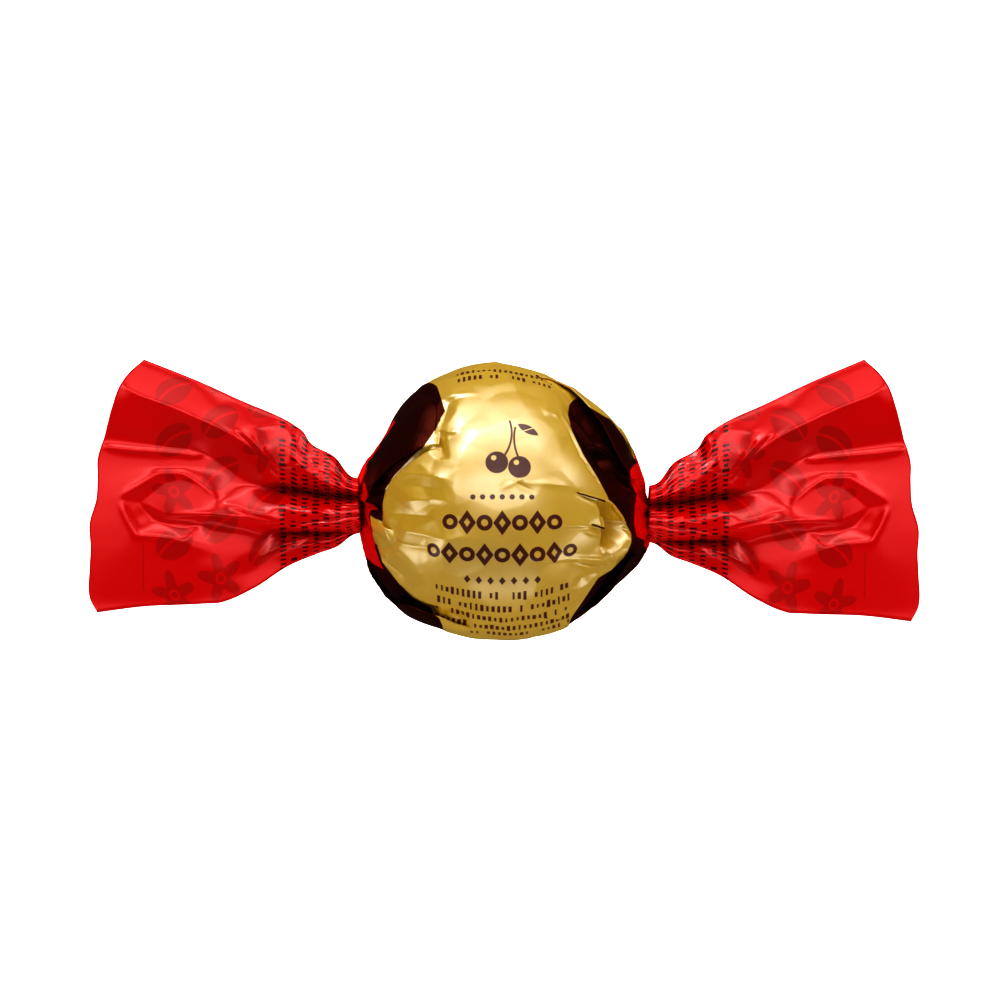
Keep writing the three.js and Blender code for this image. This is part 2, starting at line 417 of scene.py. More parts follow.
# Parts of the skin that are pressed in or pushed out in flat facets. Each is a set of lines of
# photograph pixels, with the height in millimetres at each place; the facets lie between them.
DENTS = {
    "gap under the upper left fold": (
        ((386, 524, 0), (384, 506, 0), (388, 490, 0), (393, 480, 0), (403, 470, 0), (414, 461, 0),
         (424, 453, 0), (438, 446, 0)),
        ((382, 520, -0.9), (379, 508, -1.6), (380, 499, -2.0), (385, 487, -2.1), (392, 477, -2.0),
         (402, 467, -1.7), (414, 458, -1.2), (425, 451, -0.6)),
        ((381, 528, 0), (374, 514, 0), (365, 503, 0), (363, 492, 0), (375, 475, 0), (390, 462, 0),
         (404, 452, 0), (420, 443, 0), (438, 446, 0)),
    ),
    "hollow at the lower left": (
        ((382, 562, 0), (387, 566, 0), (392, 575, 0), (398, 583, 0), (413, 597, 0), (426, 603, 0),
         (442, 607, 0)),
        ((384, 571, -1.4), (391, 584, -2.2), (401, 594, -2.3), (415, 602, -1.9),
         (428, 606.5, -1.2)),
        ((382, 562, 0), (374, 567, 0), (380, 583, 0), (388, 600, 0), (400, 612, 0), (416, 616, 0),
         (436, 618, 0), (442, 607, 0)),
    ),
    "gap at the lower right": (
        ((630, 545, 0), (622, 555, 0), (607, 574, 0), (597, 588, 0), (585, 602, 0), (573, 615, 0),
         (566, 624, 0)),
        ((629, 550, -1.0), (620, 561, -1.6), (611, 573, -1.9), (602, 586, -1.9), (592, 599, -1.7),
         (580, 612, -1.3), (571, 621, -0.7)),
        ((630, 545, 0), (637, 553, 0), (629, 568, 0), (618, 583, 0), (606, 597, 0), (593, 610, 0),
         (576, 625, 0), (566, 624, 0)),
    ),
    "pocket at the upper right": (
        ((556, 392, 0), (560, 415, 0.15), (570, 431, 0.2), (585, 462, 0.1), (604, 492, 0)),
        ((580, 456, -0.7), (596, 481, -0.9), (609, 498, -0.5)),
        ((570, 431, 0.2), (590, 453, -0.3), (605, 468, -0.4), (630, 489, -0.3)),
        ((573, 424, -0.8), (590, 442, -1.1), (602, 455, -1.5)),
        ((567, 415, -0.2), (590, 432, -0.5), (603, 444, -0.5), (612, 449, -0.6)),
        ((604, 450, -2.0), (612, 464, -2.6), (622, 480, -2.4), (628, 486, -1.4)),
        ((572, 407, -0.9), (585, 420, -1.5), (600, 438, -2.0), (611, 452, -2.3)),
        ((556, 392, 0), (572, 396, 0), (588, 408, 0), (603, 424, 0), (616, 440, 0), (627, 460, 0),
         (636, 480, 0), (634, 494, 0), (618, 503, 0), (604, 492, 0)),
    ),
    "cavity and roll at the right": (
        ((594, 502, 0.05), (597, 515, 0.15), (600, 528, 0.1), (599, 545, 0), (602, 558, 0)),
        ((602, 506, -1.7), (604, 514, -2.3), (606, 528, -2.6), (604, 544, -2.0), (602, 558, 0)),
        ((611, 510, -2.6), (616, 522, -3.6), (613, 534, -3.6), (607, 546, -2.5)),
        ((619, 527, -0.8), (620, 534, 0.6), (612, 544, 1.0), (605, 551, 0.8), (602, 558, 0)),
        ((620, 534, 0.6), (623, 537, 1.1), (618, 546, 1.4), (609, 557, 1.0)),
        ((594, 502, 0.05), (603, 499, 0), (614, 509, 0), (624, 521, 0), (626, 531, 0.2),
         (629, 539, 0.1), (629, 547, -0.1), (624, 555, -0.4), (612, 567, 0), (602, 558, 0)),
    ),
    "patches at the left of the label": (
        ((384, 474, 0), (420, 464, 0), (462, 470, 0), (472, 500, 0), (466, 535, 0), (455, 562, 0),
         (420, 568, 0), (392, 558, 0), (386, 520, 0), (384, 474, 0)),
        ((395, 484, 0.08), (418, 478, -0.1), (440, 482, 0.12), (458, 487, 0)),
        ((392, 500, -0.12), (412, 496, 0.14), (432, 503, -0.1), (452, 506, 0.08)),
        ((394, 517, 0.1), (414, 512, -0.08), (436, 518, 0.14), (456, 522, -0.06)),
        ((395, 533, -0.1), (410, 530, 0.12), (430, 536, -0.12), (450, 540, 0.1)),
        ((400, 548, 0.1), (418, 546, -0.1), (438, 551, 0.12)),
    ),
    "facets beside the upper left fold": (
        ((442, 402, 0), (452, 399.5, 0.05), (460, 397, 0), (465, 400, 0), (457, 412, 0),
         (449, 422, 0), (441, 430, 0)),
        ((458, 400, -0.1), (450, 404, -0.45), (446, 411, -0.65), (443.5, 420, -0.45)),
        ((442, 402, 0), (440, 415, 0), (439, 424, 0), (441, 430, 0)),
    ),
    "wall beside the upper left fold": (
        ((441, 430, 0), (447, 434, 0.05), (448.5, 446, 0.05), (450, 460, 0)),
        ((441, 434, -0.4), (439, 440, -0.65), (439.5, 447, -0.7), (444, 455, -0.45)),
        ((441, 430, 0), (434, 437, 0), (429, 446, 0), (431, 454, 0), (440, 461, 0), (450, 460, 0)),
    ),
    "small ridge at the right": (
        ((578, 530, 0), (588, 528, 0), (597, 532, 0), (598, 537, 0), (588, 536, 0), (578, 530, 0)),
        ((582, 530.5, 0.12), (589, 532, 0.25), (595, 534.5, 0.18)),
    ),
    "pleats below the right corner": (
        ((553, 557, 0), (572, 554, 0), (590, 555, 0), (602, 556, 0), (606, 562, 0), (602, 569, 0),
         (588, 571, 0), (570, 565, 0), (553, 557, 0)),
        ((562, 558, 0.1), (580, 559, 0.3), (600, 559.5, 0.35)),
        ((566, 560.5, 0), (582, 562, -0.2), (599, 564, -0.25)),
        ((574, 562.5, 0.12), (585, 565, 0.28), (596, 567.5, 0.2)),
    ),
    "leaf-shaped dent at the lower right": (
        ((569, 586, 0), (575, 577, 0), (584, 571, 0), (594, 569.5, 0), (594, 575, 0), (587, 583, 0),
         (578, 588, 0), (569, 586, 0)),
        ((575, 584, -0.2), (583, 578, -0.5), (590, 572.5, -0.3)),
    ),
    "crumple at the bottom": (
        ((440, 609, 0), (452, 607, 0), (466, 612, 0), (476, 622, 0), (478, 633, 0), (462, 630, 0),
         (447, 622, 0), (440, 609, 0)),
        ((446, 612, -0.25), (456, 616, -0.3), (468, 625, -0.2)),
        ((450, 618, 0.15), (460, 623, 0.2), (470, 630, 0.1)),
    ),
}


@dataclass(frozen=True)
class Fold:
    """A fold of film that lies on the skin with one edge free, or a band with both edges free.

    Attributes:
        name: the piece's name.
        edge: the free edge, in the plan.
        root: where the fold leaves the skin, or the other free edge, in the same direction.
        lift: how far the free edge stands off the skin.
        ink: what it is printed with.
        ends: how much of the lift the first and the last end keep.
        print_and_shade_line: where a print line crosses it: gold on its left and the ink on its
            right. On the two small flaps by the right corner the brown strip it leaves at the free
            edge is painted shade.
        side: the half of the ball that it is on.
        bend: 1 for a flat fold, more for one that rises at its root and levels out.
        band: whether both edges are free.
    """

    name: str
    edge: Route
    root: Route
    lift: float
    ink: Ink
    ends: tuple[float, float] = (0.0, 0.0)
    print_and_shade_line: Route | None = None
    side: Side = Side.FRONT
    bend: float = 2.5
    band: bool = False


FOLDS = (
    Fold(
        "upper_left_fold", from_photo((369, 500), (376, 493), (382, 482), (391, 472), (404, 462),
        (415, 455.5), (425, 449), (433, 445.5), (439, 444.5)),
        from_photo((367, 462), (381, 453), (386, 440), (395, 427), (403, 415), (410, 404),
        (422, 398), (434, 404), (441, 420)),
        0.6, Ink.BROWN, ends=(0.8, 0.1), band=True,
        print_and_shade_line=from_photo((452, 405), (446, 413), (441, 423), (436, 432), (426, 447),
        (418, 458))),
    Fold(
        "upper_left_rim", from_photo((407, 405), (413, 397), (420, 391), (428, 387), (436, 387),
        (442, 391)),
        from_photo((413, 408), (420, 402), (427, 399), (433, 398), (438, 397), (442, 397)),
        0.35, Ink.BROWN, ends=(0.4, 0.0)),
    Fold(
        "left_tip", from_photo((376, 515), (382, 519.5), (389, 525.5), (396, 531)),
        from_photo((375, 547), (383, 551), (391, 549), (400, 542)), 0.6, Ink.GOLD,
        ends=(1.0, 0.0)),
    Fold(
        "lower_left_rim", from_photo((369, 556), (376, 566), (381, 576), (386, 587), (392, 597),
        (398, 602)),
        from_photo((361, 557), (367, 568), (373, 580), (380, 591), (388, 600), (396, 604)),
        0.4, Ink.BROWN, ends=(0.3, 0.0)),
    Fold(
        "lower_left_fold", from_photo((391, 597), (403, 600), (417, 604), (431, 608.5), (446, 614),
        (459, 620), (470, 626), (477, 631)),
        from_photo((391, 602), (402, 613), (416, 622), (436, 629), (456, 635), (478, 639)),
        0.6, Ink.BROWN, ends=(0.4, 0.0),
        print_and_shade_line=from_photo((428, 600), (431, 608.5), (436, 613), (440, 617), (443, 624),
        (445, 645))),
    Fold(
        "upper_right_fold", ((4.3, 16.4), (5.5, 15.9), (6.5, 15.5), (7.4, 14.7), (8.7, 13.5),
        (9.9, 12.4), (11.6, 10.4), (12.9, 8.6), (14.2, 6.5), (15.2, 4.4), (16.2, 2.6)),
        ((5.9, 17.4), (8.1, 16.4), (10.7, 14.7), (13.3, 12.9), (15.0, 10.8), (16.5, 8.1),
        (17.8, 4.9), (18.2, 3.1)), 0.7, Ink.BROWN, ends=(0.0, 0.7),
        print_and_shade_line=((9.0, 13.2), (10.1, 12.5), (11.3, 11.8), (13.1, 10.7), (13.8, 10.4),
        (14.3, 9.8), (14.8, 9.1), (15.5, 8.2), (16.5, 6.5), (18.6, 3.4))),
    Fold(
        "upper_right_sliver", ((14.2, 10.6), (15.0, 9.4), (15.7, 8.1), (16.5, 7.0), (17.3, 5.9)),
        ((14.7, 10.9), (15.5, 9.9), (16.4, 8.3), (17.0, 7.0), (17.7, 5.7)), 0.45, Ink.GOLD),
    Fold(
        "right_strip", from_photo((600, 498), (606, 503.5), (611, 510), (617, 517), (622, 523)),
        from_photo((604, 497), (610, 501), (616, 508), (620, 514), (624, 521)), 0.5, Ink.GOLD,
        ends=(0.3, 0.5)),
    # The brown strip between this flap's gold line and its free edge is painted shade of the slit
    # under that edge.
    Fold(
        "right_flap", from_photo((573.5, 492.5), (580, 495), (588, 497.6), (595, 499.6), (602, 502)),
        from_photo((572, 489), (580, 488), (588, 487), (596, 486), (604, 486)), 0.16, Ink.GOLD,
        ends=(0.5, 1.0), bend=1.2,
        print_and_shade_line=from_photo((571, 490.5), (580, 493.5), (588, 496), (595, 498), (606, 501.2))),
    # The brown strip between this flap's gold line and its free edge is painted shade of the slit
    # under that edge.
    Fold(
        "right_lower_flap", from_photo((587, 523.5), (592, 525.3), (597, 527), (602, 528.5)),
        from_photo((587, 520.5), (592, 519), (597, 517.5), (602, 516.5)), 0.15, Ink.GOLD,
        ends=(0.5, 1.0), bend=1.2,
        print_and_shade_line=from_photo((585, 521.3), (592, 523.8), (597, 525.4), (606, 528.1))),
    Fold(
        "lower_right_fold", ((17.0, -6.6), (15.7, -8.2), (14.4, -10.0), (13.0, -12.0),
        (11.3, -13.8), (9.5, -15.3)),
        ((17.9, -6.8), (17.0, -8.7), (15.5, -10.8), (13.7, -12.7), (11.6, -14.4), (9.6, -15.9)),
        0.45, Ink.BROWN, ends=(0.5, 0.0)),
    Fold(
        "back_upper_left_fold", ((-17.6, 0.6), (-16.2, 2.4), (-14.2, 4.6), (-11.6, 6.6),
        (-9.2, 8.6), (-7.2, 11.2)),
        ((-17.3, 4.6), (-15.8, 6.6), (-13.8, 9.0), (-11.4, 11.0), (-9.2, 12.6), (-7.2, 13.6)),
        0.6, Ink.BROWN, ends=(0.8, 0.1), side=Side.BACK),
    Fold(
        "back_lower_left_fold", ((-17.4, -2.6), (-15.6, -4.2), (-13.0, -6.6), (-10.4, -9.4),
        (-8.2, -12.6)),
        ((-16.6, -6.4), (-14.6, -8.8), (-12.4, -11.0), (-10.2, -12.8), (-8.4, -14.4)),
        0.55, Ink.BROWN, ends=(0.7, 0.0), side=Side.BACK),
    Fold(
        "back_upper_right_fold", ((17.4, 1.2), (15.4, 3.4), (12.6, 5.2), (10.2, 7.8), (8.4, 11.0)),
        ((16.8, 5.4), (14.8, 8.0), (12.6, 10.2), (10.6, 12.0), (8.6, 13.8)),
        0.55, Ink.BROWN, ends=(0.8, 0.0), side=Side.BACK),
    Fold(
        "back_lower_right_fold", ((17.2, -3.4), (14.8, -5.0), (12.2, -7.2), (10.2, -9.8),
        (8.6, -13.0)),
        ((16.6, -7.0), (14.4, -9.4), (12.2, -11.4), (10.4, -13.2), (8.8, -14.8)),
        0.6, Ink.BROWN, ends=(0.7, 0.1), side=Side.BACK),
)


class FoldNet:
    """A surface of nearly flat facets between fold lines."""

    def __init__(self, lines: Sequence[Route]) -> None:
        """Join the lines' places into triangles that keep every line as an edge.

        Args:
            lines: places with their heights, on lines that meet only at shared places.
        """
        heights: dict[tuple[float, float], float] = {}
        for line in lines:
            heights.update({place[:2]: place[2] for place in line})
        index = {place: number for number, place in enumerate(heights)}
        edges = {
            (index[a[:2]], index[b[:2]]) for line in lines for a, b in zip(line[:-1], line[1:])
        }
        corners, _, faces, origins, _, _ = delaunay_2d_cdt(
            [Vector(place) for place in heights], list(edges), [], 0, MERGE
        )
        known = list(heights.values())
        self.corners = np.array([tuple(corner) for corner in corners])
        self.faces = np.array(faces)
        crossing = [number for number, origin in enumerate(origins) if not origin]
        if crossing:
            log.warning("fold lines cross at %s", self.corners[crossing].round(2).tolist())
        self.heights = np.array([known[origin[0]] if origin else 0.0 for origin in origins])

    def height(self, plan: Array, beyond: bool = True) -> Array:
        """Return the height of the net at points of the plan.

        In each triangle it is the mean of the corners' heights, weighted by the point's shares of
        the triangle.

        Args:
            plan: the points, one row each.
            beyond: whether the nearest triangle is carried on outside the net, where the height
                is 0 otherwise.

        Returns:
            One height for each point.
        """
        best = np.full(len(plan), -np.inf)
        height = np.zeros(len(plan))
        for face in self.faces:
            (ax, ay), (bx, by), (cx, cy) = self.corners[face]
            area = (by - cy) * (ax - cx) + (cx - bx) * (ay - cy)
            if abs(area) < SLIVER:
                continue
            first = ((by - cy) * (plan[:, 0] - cx) + (cx - bx) * (plan[:, 1] - cy)) / area
            second = ((cy - ay) * (plan[:, 0] - cx) + (ax - cx) * (plan[:, 1] - cy)) / area
            shares = np.column_stack([first, second, 1.0 - first - second])
            worst = shares.min(axis=1)
            nearer = worst > best
            best = np.where(nearer, worst, best)
            height = np.where(nearer, shares @ self.heights[face], height)
        return height if beyond else np.where(best >= -SLIVER, height, 0.0)


@dataclass
class FilmBall:
    """The film drawn tight over the round truffle.

    Attributes:
        half: half its length, width and height as an ellipsoid.
        middle: the ellipsoid's middle.
        neck_drop: how far below the middle the film leaves at the left and the right neck.
        rows: rings of points from neck to neck.
        columns: points round each ring.
        front_density: how much closer the columns lie over the label than on average.
        raster: how finely the facets are worked out.
        rim_share: share of the plan's radius from which a fold bends round the outline.
        rim_turn: how fast it does, in radians for each radius.
        crease_reach: how far from its middle a crease is looked for.
        lap_drop: width over which a hand-placed lap drops.
        red_reach: how far the red print runs out from the necks behind the label.
        red_waves: how many lobes the red print has there, and their share of its reach.
        back_shift: how far the corners of the printed fields are moved behind the ball.
        back_wave: length by which their sides swing there.
    """

    half: tuple[float, float, float] = (18.8, 18.1, 17.7)
    middle: tuple[float, float, float] = (-0.1, -0.3, 17.1)
    neck_drop: tuple[float, float] = (0.15, 1.2)
    rows: int = 262
    columns: int = 374
    front_density: float = 0.45
    raster: float = 0.12
    rim_share: float = 0.97
    rim_turn: float = 4.1
    crease_reach: float = 16.0
    lap_drop: float = 0.32
    red_reach: float = 9.0
    red_waves: tuple[int, float] = (5, 0.2)
    back_shift: tuple[float, float] = (1.6, -1.8)
    back_wave: float = 5.0

    # Turn round the plan from +X, and how far the outline stands out of the ellipse there.
    OUT_OF_ROUND = (
        (7, 0.3), (15, 0.2), (40, -0.45), (58, -1.15), (70, -0.7), (80, -0.6), (92, -0.2),
        (100, 0.05), (109, 0.35), (118, 0.15), (138, -0.4), (150, -1.3), (165, -0.25), (200, 0.1),
        (212, 0.4), (221, 1.0), (231, 0.65), (250, -0.1), (275, -0.3), (292, -0.1), (320, -1.0),
        (335, 0.15), (345, 0.7),
    )
    # Laps of film that run out from a neck: turn round X (0 at +Y, 90 up the label), height and
    # reach from the neck. The ones behind the ball reach further than those beside the label.
    LEFT_LAPS = (
        (12, 0.5, 40), (62, 0.35, 24), (100, 0.3, 18), (140, 0.4, 24), (170, 0.5, 38),
        (205, 0.7, 75), (236, 0.6, 60), (262, 0.8, 85), (297, 0.6, 62), (330, 0.8, 80),
    )
    RIGHT_LAPS = (
        (8, 0.5, 42), (46, 0.35, 26), (85, 0.3, 20), (125, 0.4, 22), (160, 0.45, 34),
        (196, 0.7, 70), (225, 0.8, 88), (258, 0.6, 58), (286, 0.8, 82), (322, 0.6, 64),
    )
    LAP_SPREAD = 16.0
    OUTLINE_SOFTENING = 30
    # Small pleats at the left and the right neck: side, how many of each size, and turn.
    GATHERS = ((-1.0, (9, 14), 0.4), (1.0, (8, 13), 1.7))
    GATHER_DEPTHS = (0.5, 0.3)
    GATHER_REACH = 0.42
    # Fine wrinkles from each neck, with the ranges of their reaches, widths and heights.
    WRINKLE_SEED = 23
    WRINKLES = 46
    WRINKLE_BEND = 0.25
    WRINKLE_REACHES = (22, 74)
    WRINKLE_WIDTHS = (0.35, 0.8)
    WRINKLE_HEIGHTS = (0.1, 0.34)
    # Shallow facets: 1 for bowls that meet in valleys and -1 for ridges, how many bowls, how
    # steeply they are tilted and how fast they fall off.
    CRUMPLE_SEED = 11
    CRUMPLES = ((1.0, 130, 0.03, 0.012), (-1.0, 260, 0.045, 0.014))

    def places(self) -> Array:
        """Work out the unit-sphere places of the grid: rings along X, denser over the label.

        The turn round X grows evenly, plus front_density times its cosine.

        Returns:
            The places, one row each, ring by ring.
        """
        polar = np.linspace(0.0, math.pi, self.rows + 2)[1:-1, None]
        evenly = np.arange(self.columns)[None, :] * 2 * math.pi / self.columns
        turn = evenly + self.front_density * np.cos(evenly)
        sine = np.sin(polar)
        grid = (-np.cos(polar) + 0 * turn, sine * np.cos(turn), sine * np.sin(turn))
        return np.stack(grid, axis=-1).reshape(-1, 3)

    def places_at(self, plan: Array, side: Side = Side.FRONT) -> Array:
        """Return the unit-sphere places whose skin shows at points of the plan.

        The first guess is the place straight over the point: its angle from the pole is the
        arcsine of its radius. Beyond rim_share the angle goes on growing evenly with the radius,
        so a fold that reaches past the outline bends round it. The guess is then moved three
        times by how far its skin misses the point, less so the nearer it is to the outline.

        Args:
            plan: the points, one row each.
            side: the half of the ball to look on.

        Returns:
            The places.
        """
        aim = plan - self.middle[:2]
        guess = aim.copy()
        for _ in range(4):
            across = guess / self.half[:2]
            radius = np.linalg.norm(across, axis=1)
            beyond = np.maximum(radius - self.rim_share, 0.0)
            angle = np.arcsin(np.minimum(radius, self.rim_share)) + beyond * self.rim_turn
            scale = np.sin(angle) / np.maximum(radius, TINY)
            places = np.column_stack([across * scale[:, None], side.value * np.cos(angle)])
            missed = aim - (self.at(places, self.skin(places))[:, :2] - self.middle[:2])
            guess += missed * smoothstep(1.0, 0.9, radius)[:, None]
        return places

    def normals(self, places: Array) -> Array:
        """Return the ellipsoid's outward normals."""
        return unit(places / self.half)

    def at(self, places: Array, height: Array) -> Array:
        """Put places at a height over the ellipsoid.

        The point is the middle plus half sizes times the place plus height times the normal. The
        poles sink to the necks by the cube of the share along X, and nothing goes below 0.

        Args:
            places: unit-sphere places.
            height: how far each stands out.

        Returns:
            The points.
        """
        points = self.middle + places * self.half + height[:, None] * self.normals(places)
        left, right = self.neck_drop
        points[:, 1] -= np.where(places[:, 0] < 0, left, right) * np.abs(places[:, 0]) ** 3
        points[:, 2] = np.maximum(points[:, 2], 0.0)
        return points

    def outline_height(self, places: Array) -> Array:
        """Return how far the film stands off the ellipsoid at the sides, nothing over the label.

        The outline's offsets are joined by straight runs round the plan, rounded off, and grow
        with the fourth power of the distance from the middle of the label.

        Args:
            places: unit-sphere places.

        Returns:
            One height for each place.
        """
        degrees, offsets = np.array(self.OUT_OF_ROUND, float).T
        fine = np.arange(360.0)
        run = np.interp(fine, degrees, offsets, period=360)
        run = soften(run[None, :], self.OUTLINE_SOFTENING, wraps=True)[0]
        turn = np.degrees(np.arctan2(places[:, 1], places[:, 0])) % 360
        outwards = (places[:, 0] ** 2 + places[:, 1] ** 2) ** 2
        return np.interp(turn, fine, run, period=360) * outwards

    def lap_height(self, places: Array) -> Array:
        """Return the height of the laps that run out from the necks.

        Each falls off on one side by an exponential of the turn past it, drops at once on the
        other side, and fades from the neck to its reach. A sine of the angle from the neck makes
        it wander.

        Args:
            places: unit-sphere places.

        Returns:
            One height for each place.
        """
        turn = np.degrees(np.arctan2(places[:, 2], places[:, 1])) % 360
        total = np.zeros(len(places))
        for laps, neck in ((self.LEFT_LAPS, -1.0), (self.RIGHT_LAPS, 1.0)):
            from_neck = np.degrees(np.arccos(np.clip(neck * places[:, 0], -1, 1)))
            for where, height, reach in laps:
                past = (neck * (turn - where) + 4 * np.sin(from_neck / 9 + where)) % 360
                drop = smoothstep(360, 357, past)
                fade = smoothstep(reach, 0.15 * reach, from_neck)
                total += height * np.exp(-past / self.LAP_SPREAD) * fade * drop
                total += height * (1 - drop) * fade
        return total

    def gathers(self, places: Array) -> Array:
        """Return the depth of the small pleats close round each neck.

        They are the absolute values of two sines of the turn, and die out away from the neck by
        the exponential of the angle's square.

        Args:
            places: unit-sphere places.

        Returns:
            One depth for each place.
        """
        turn = np.arctan2(places[:, 2], places[:, 1])
        depth = np.zeros(len(places))
        for neck, counts, phase in self.GATHERS:
            from_neck = np.arccos(np.clip(neck * places[:, 0], -1, 1))
            for count, share in zip(counts, self.GATHER_DEPTHS):
                pleat = np.abs(np.sin(count * turn / 2 + phase * count))
                depth += share * pleat * np.exp(-((from_neck / self.GATHER_REACH) ** 2))
        return depth

    def wrinkle_height(self, places: Array) -> Array:
        """Return the height of the fine wrinkles that run out from both necks.

        Each is a sharp ridge or valley, an exponential of the distance round the ball from a line
        that bends as it leaves the neck. It fades to its own reach.

        Args:
            places: unit-sphere places.

        Returns:
            One height for each place, lower on the label.
        """
        chance = np.random.default_rng(self.WRINKLE_SEED)
        turn = np.arctan2(places[:, 2], places[:, 1])
        total = np.zeros(len(places))
        for neck in (-1.0, 1.0):
            from_neck = np.degrees(np.arccos(np.clip(neck * places[:, 0], -1, 1)))
            around = self.half[1] * np.sin(np.radians(from_neck))
            for _ in range(self.WRINKLES):
                where = chance.uniform(0, 2 * math.pi)
                bend = chance.normal(scale=self.WRINKLE_BEND)
                reach = chance.uniform(*self.WRINKLE_REACHES)
                width = chance.uniform(*self.WRINKLE_WIDTHS)
                height = chance.choice((-1.0, 1.0)) * chance.uniform(*self.WRINKLE_HEIGHTS)
                gap = turn - where - bend * (from_neck / 60) ** 2
                gap = np.abs((gap + math.pi) % (2 * math.pi) - math.pi) * around
                fade = smoothstep(reach, 0.25 * reach, from_neck) * smoothstep(4, 14, from_neck)
                total += height * np.exp(-gap / width) * fade
        label = smoothstep(0.35, 0.9, places[:, 2])
        return total * (1.0 - 0.55 * label)

    def crumple_height(self, places: Array, points: Array) -> Array:
        """Return the height of random shallow facets.

        Over each of many random centres lies a shallow bowl, tilted at random. Where the highest
        bowl at a point counts, bowls meet in valleys; where the lowest does, in ridges. The
        height is the sum of one set of each kind.

        Args:
            places: unit-sphere places.
            points: where they lie on the smooth ball.

        Returns:
            One height for each place, lower on the label.
        """
        chance = np.random.default_rng(self.CRUMPLE_SEED)
        total = np.zeros(len(points))
        for sign, count, tilting, bowl in self.CRUMPLES:
            centres = unit(chance.normal(size=(count, 3))) * self.half + self.middle
            tilts = chance.normal(scale=tilting, size=(count, 3))
            height = np.full(len(points), -np.inf)
            for centre, tilt in zip(centres, tilts):
                gap = points - centre
                height = np.maximum(height, gap @ tilt - bowl * (gap**2).sum(axis=1))
            total += sign * (height - np.median(height))
        label = smoothstep(0.5, 0.92, places[:, 2])
        return total * (1.0 - 0.5 * label)

    def crease_height(self, places: Array, points: Array) -> Array:
        """Return the height of the listed creases.

        A ridge or a valley falls off by an exponential of the distance from its route. A lap does
        so on its left and drops within lap_drop on its right. All fade at both ends.

        Args:
            places: unit-sphere places.
            points: where they lie on the smooth ball.

        Returns:
            One height for each place.
        """
        total = np.zeros(len(points))
        normals = self.normals(places)
        for crease in CREASES:
            plan = curve_through(crease.route, 4 * len(crease.route))
            route_places = self.places_at(plan, crease.side)
            route = self.at(route_places, np.zeros(len(plan)))
            gap = np.linalg.norm(points - route.mean(axis=0), axis=1)
            close = gap < self.crease_reach
            near = nearest_on(route, points[close], normals[close])
            fade = smoothstep(0.0, 0.35, near.share) * smoothstep(1.0, 0.65, near.share)
            shape = np.exp(-near.distance / crease.width)
            if crease.profile is Profile.LAP:
                drop = smoothstep(self.lap_drop, 0.0, near.distance)
                shape = np.where(near.side > 0, shape, drop)
            sign = -1.0 if crease.profile is Profile.VALLEY else 1.0
            total[close] += sign * crease.height * shape * fade
        return total

    def dent_height(self, places: Array) -> Array:
        """Return the height of the facets over the label's half.

        Each net of facets is worked out on a fine square raster of the plan, rounded off by one
        pass, and read between the raster's four nearest places.

        Args:
            places: unit-sphere places.

        Returns:
            One height for each place.
        """
        total = np.zeros(len(places))
        plan = self.at(places, self.skin(places))[:, :2]
        for lines in DENTS.values():
            net = FoldNet([from_photo(*line) for line in lines])
            low = net.corners.min(axis=0) - 3 * self.raster
            high = net.corners.max(axis=0) + 3 * self.raster
            x, y = (np.arange(a, b, self.raster) for a, b in zip(low, high))
            grid = np.stack(np.meshgrid(x, y, indexing="ij"), axis=-1)
            heights = net.height(grid.reshape(-1, 2), beyond=False).reshape(len(x), len(y))
            heights = soften(heights, 1)
            cell = (plan - low) / self.raster
            last = np.array(heights.shape) - 2
            close = (cell >= 0).all(axis=1) & (cell < last).all(axis=1) & (places[:, 2] > 0)
            row, column = np.floor(cell[close]).astype(int).T
            down, over = (cell[close] % 1.0).T
            near = heights[row, column] * (1 - over) + heights[row, column + 1] * over
            far = heights[row + 1, column] * (1 - over) + heights[row + 1, column + 1] * over
            total[close] += near * (1 - down) + far * down
        return total

    def skin(self, places: Array) -> Array:
        """Return the smooth height of the film, which the folds of film lie on."""
        return self.outline_height(places) + self.lap_height(places) - self.gathers(places)

    def draped(self, places: Array) -> Array:
        """Return the height of the crumpled film, without the listed creases.

        Args:
            places: unit-sphere places.

        Returns:
            One height for each place.
        """
        smooth = self.at(places, np.zeros(len(places)))
        crumpled = self.crumple_height(places, smooth) + self.wrinkle_height(places)
        return self.skin(places) + crumpled

    def print_marks(self, points: Array, places: Array) -> dict[str, Array]:
        """Return what the film's material reads at each point.

        gold_edge and red_edge are signed distances to the printed fields, positive inside. Behind
        the ball the fields are shifted and swing a little, and the red one is a ring with lobes
        round each neck. film holds the distance along X and the distance round the ball from the
        label's middle, and whether the point is on the label's side.

        Args:
            points: the points.
            places: their unit-sphere places.

        Returns:
            The marks by name.
        """
        plan = points[:, :2].copy()
        behind = smoothstep(0.1, -0.5, places[:, 2])
        swing, shift = self.back_shift
        plan[:, 0] += swing * behind * np.sin(points[:, 1] / self.back_wave)
        plan[:, 1] += shift * behind
        red = np.max([inside(field, plan) for field in RED_FIELDS], axis=0)
        round_neck = np.arctan2(places[:, 2], places[:, 1])
        from_neck = self.half[0] * np.arccos(np.abs(np.clip(places[:, 0], -1, 1)))
        lobes, swell = self.red_waves
        ring = self.red_reach * (1.0 + swell * np.sin(lobes * round_neck)) - from_neck
        hidden = smoothstep(0.12, -0.05, places[:, 2])
        red = red * (1.0 - hidden) + ring * hidden
        along = self.half[0] * np.arcsin(np.clip(places[:, 0], -1, 1))
        turn = np.arctan2(places[:, 1], places[:, 2])
        return {
            "gold_edge": inside(GOLD_FIELD, plan),
            "red_edge": red,
            "film": np.column_stack([along, self.half[1] * turn, places[:, 2] > 0]),
        }

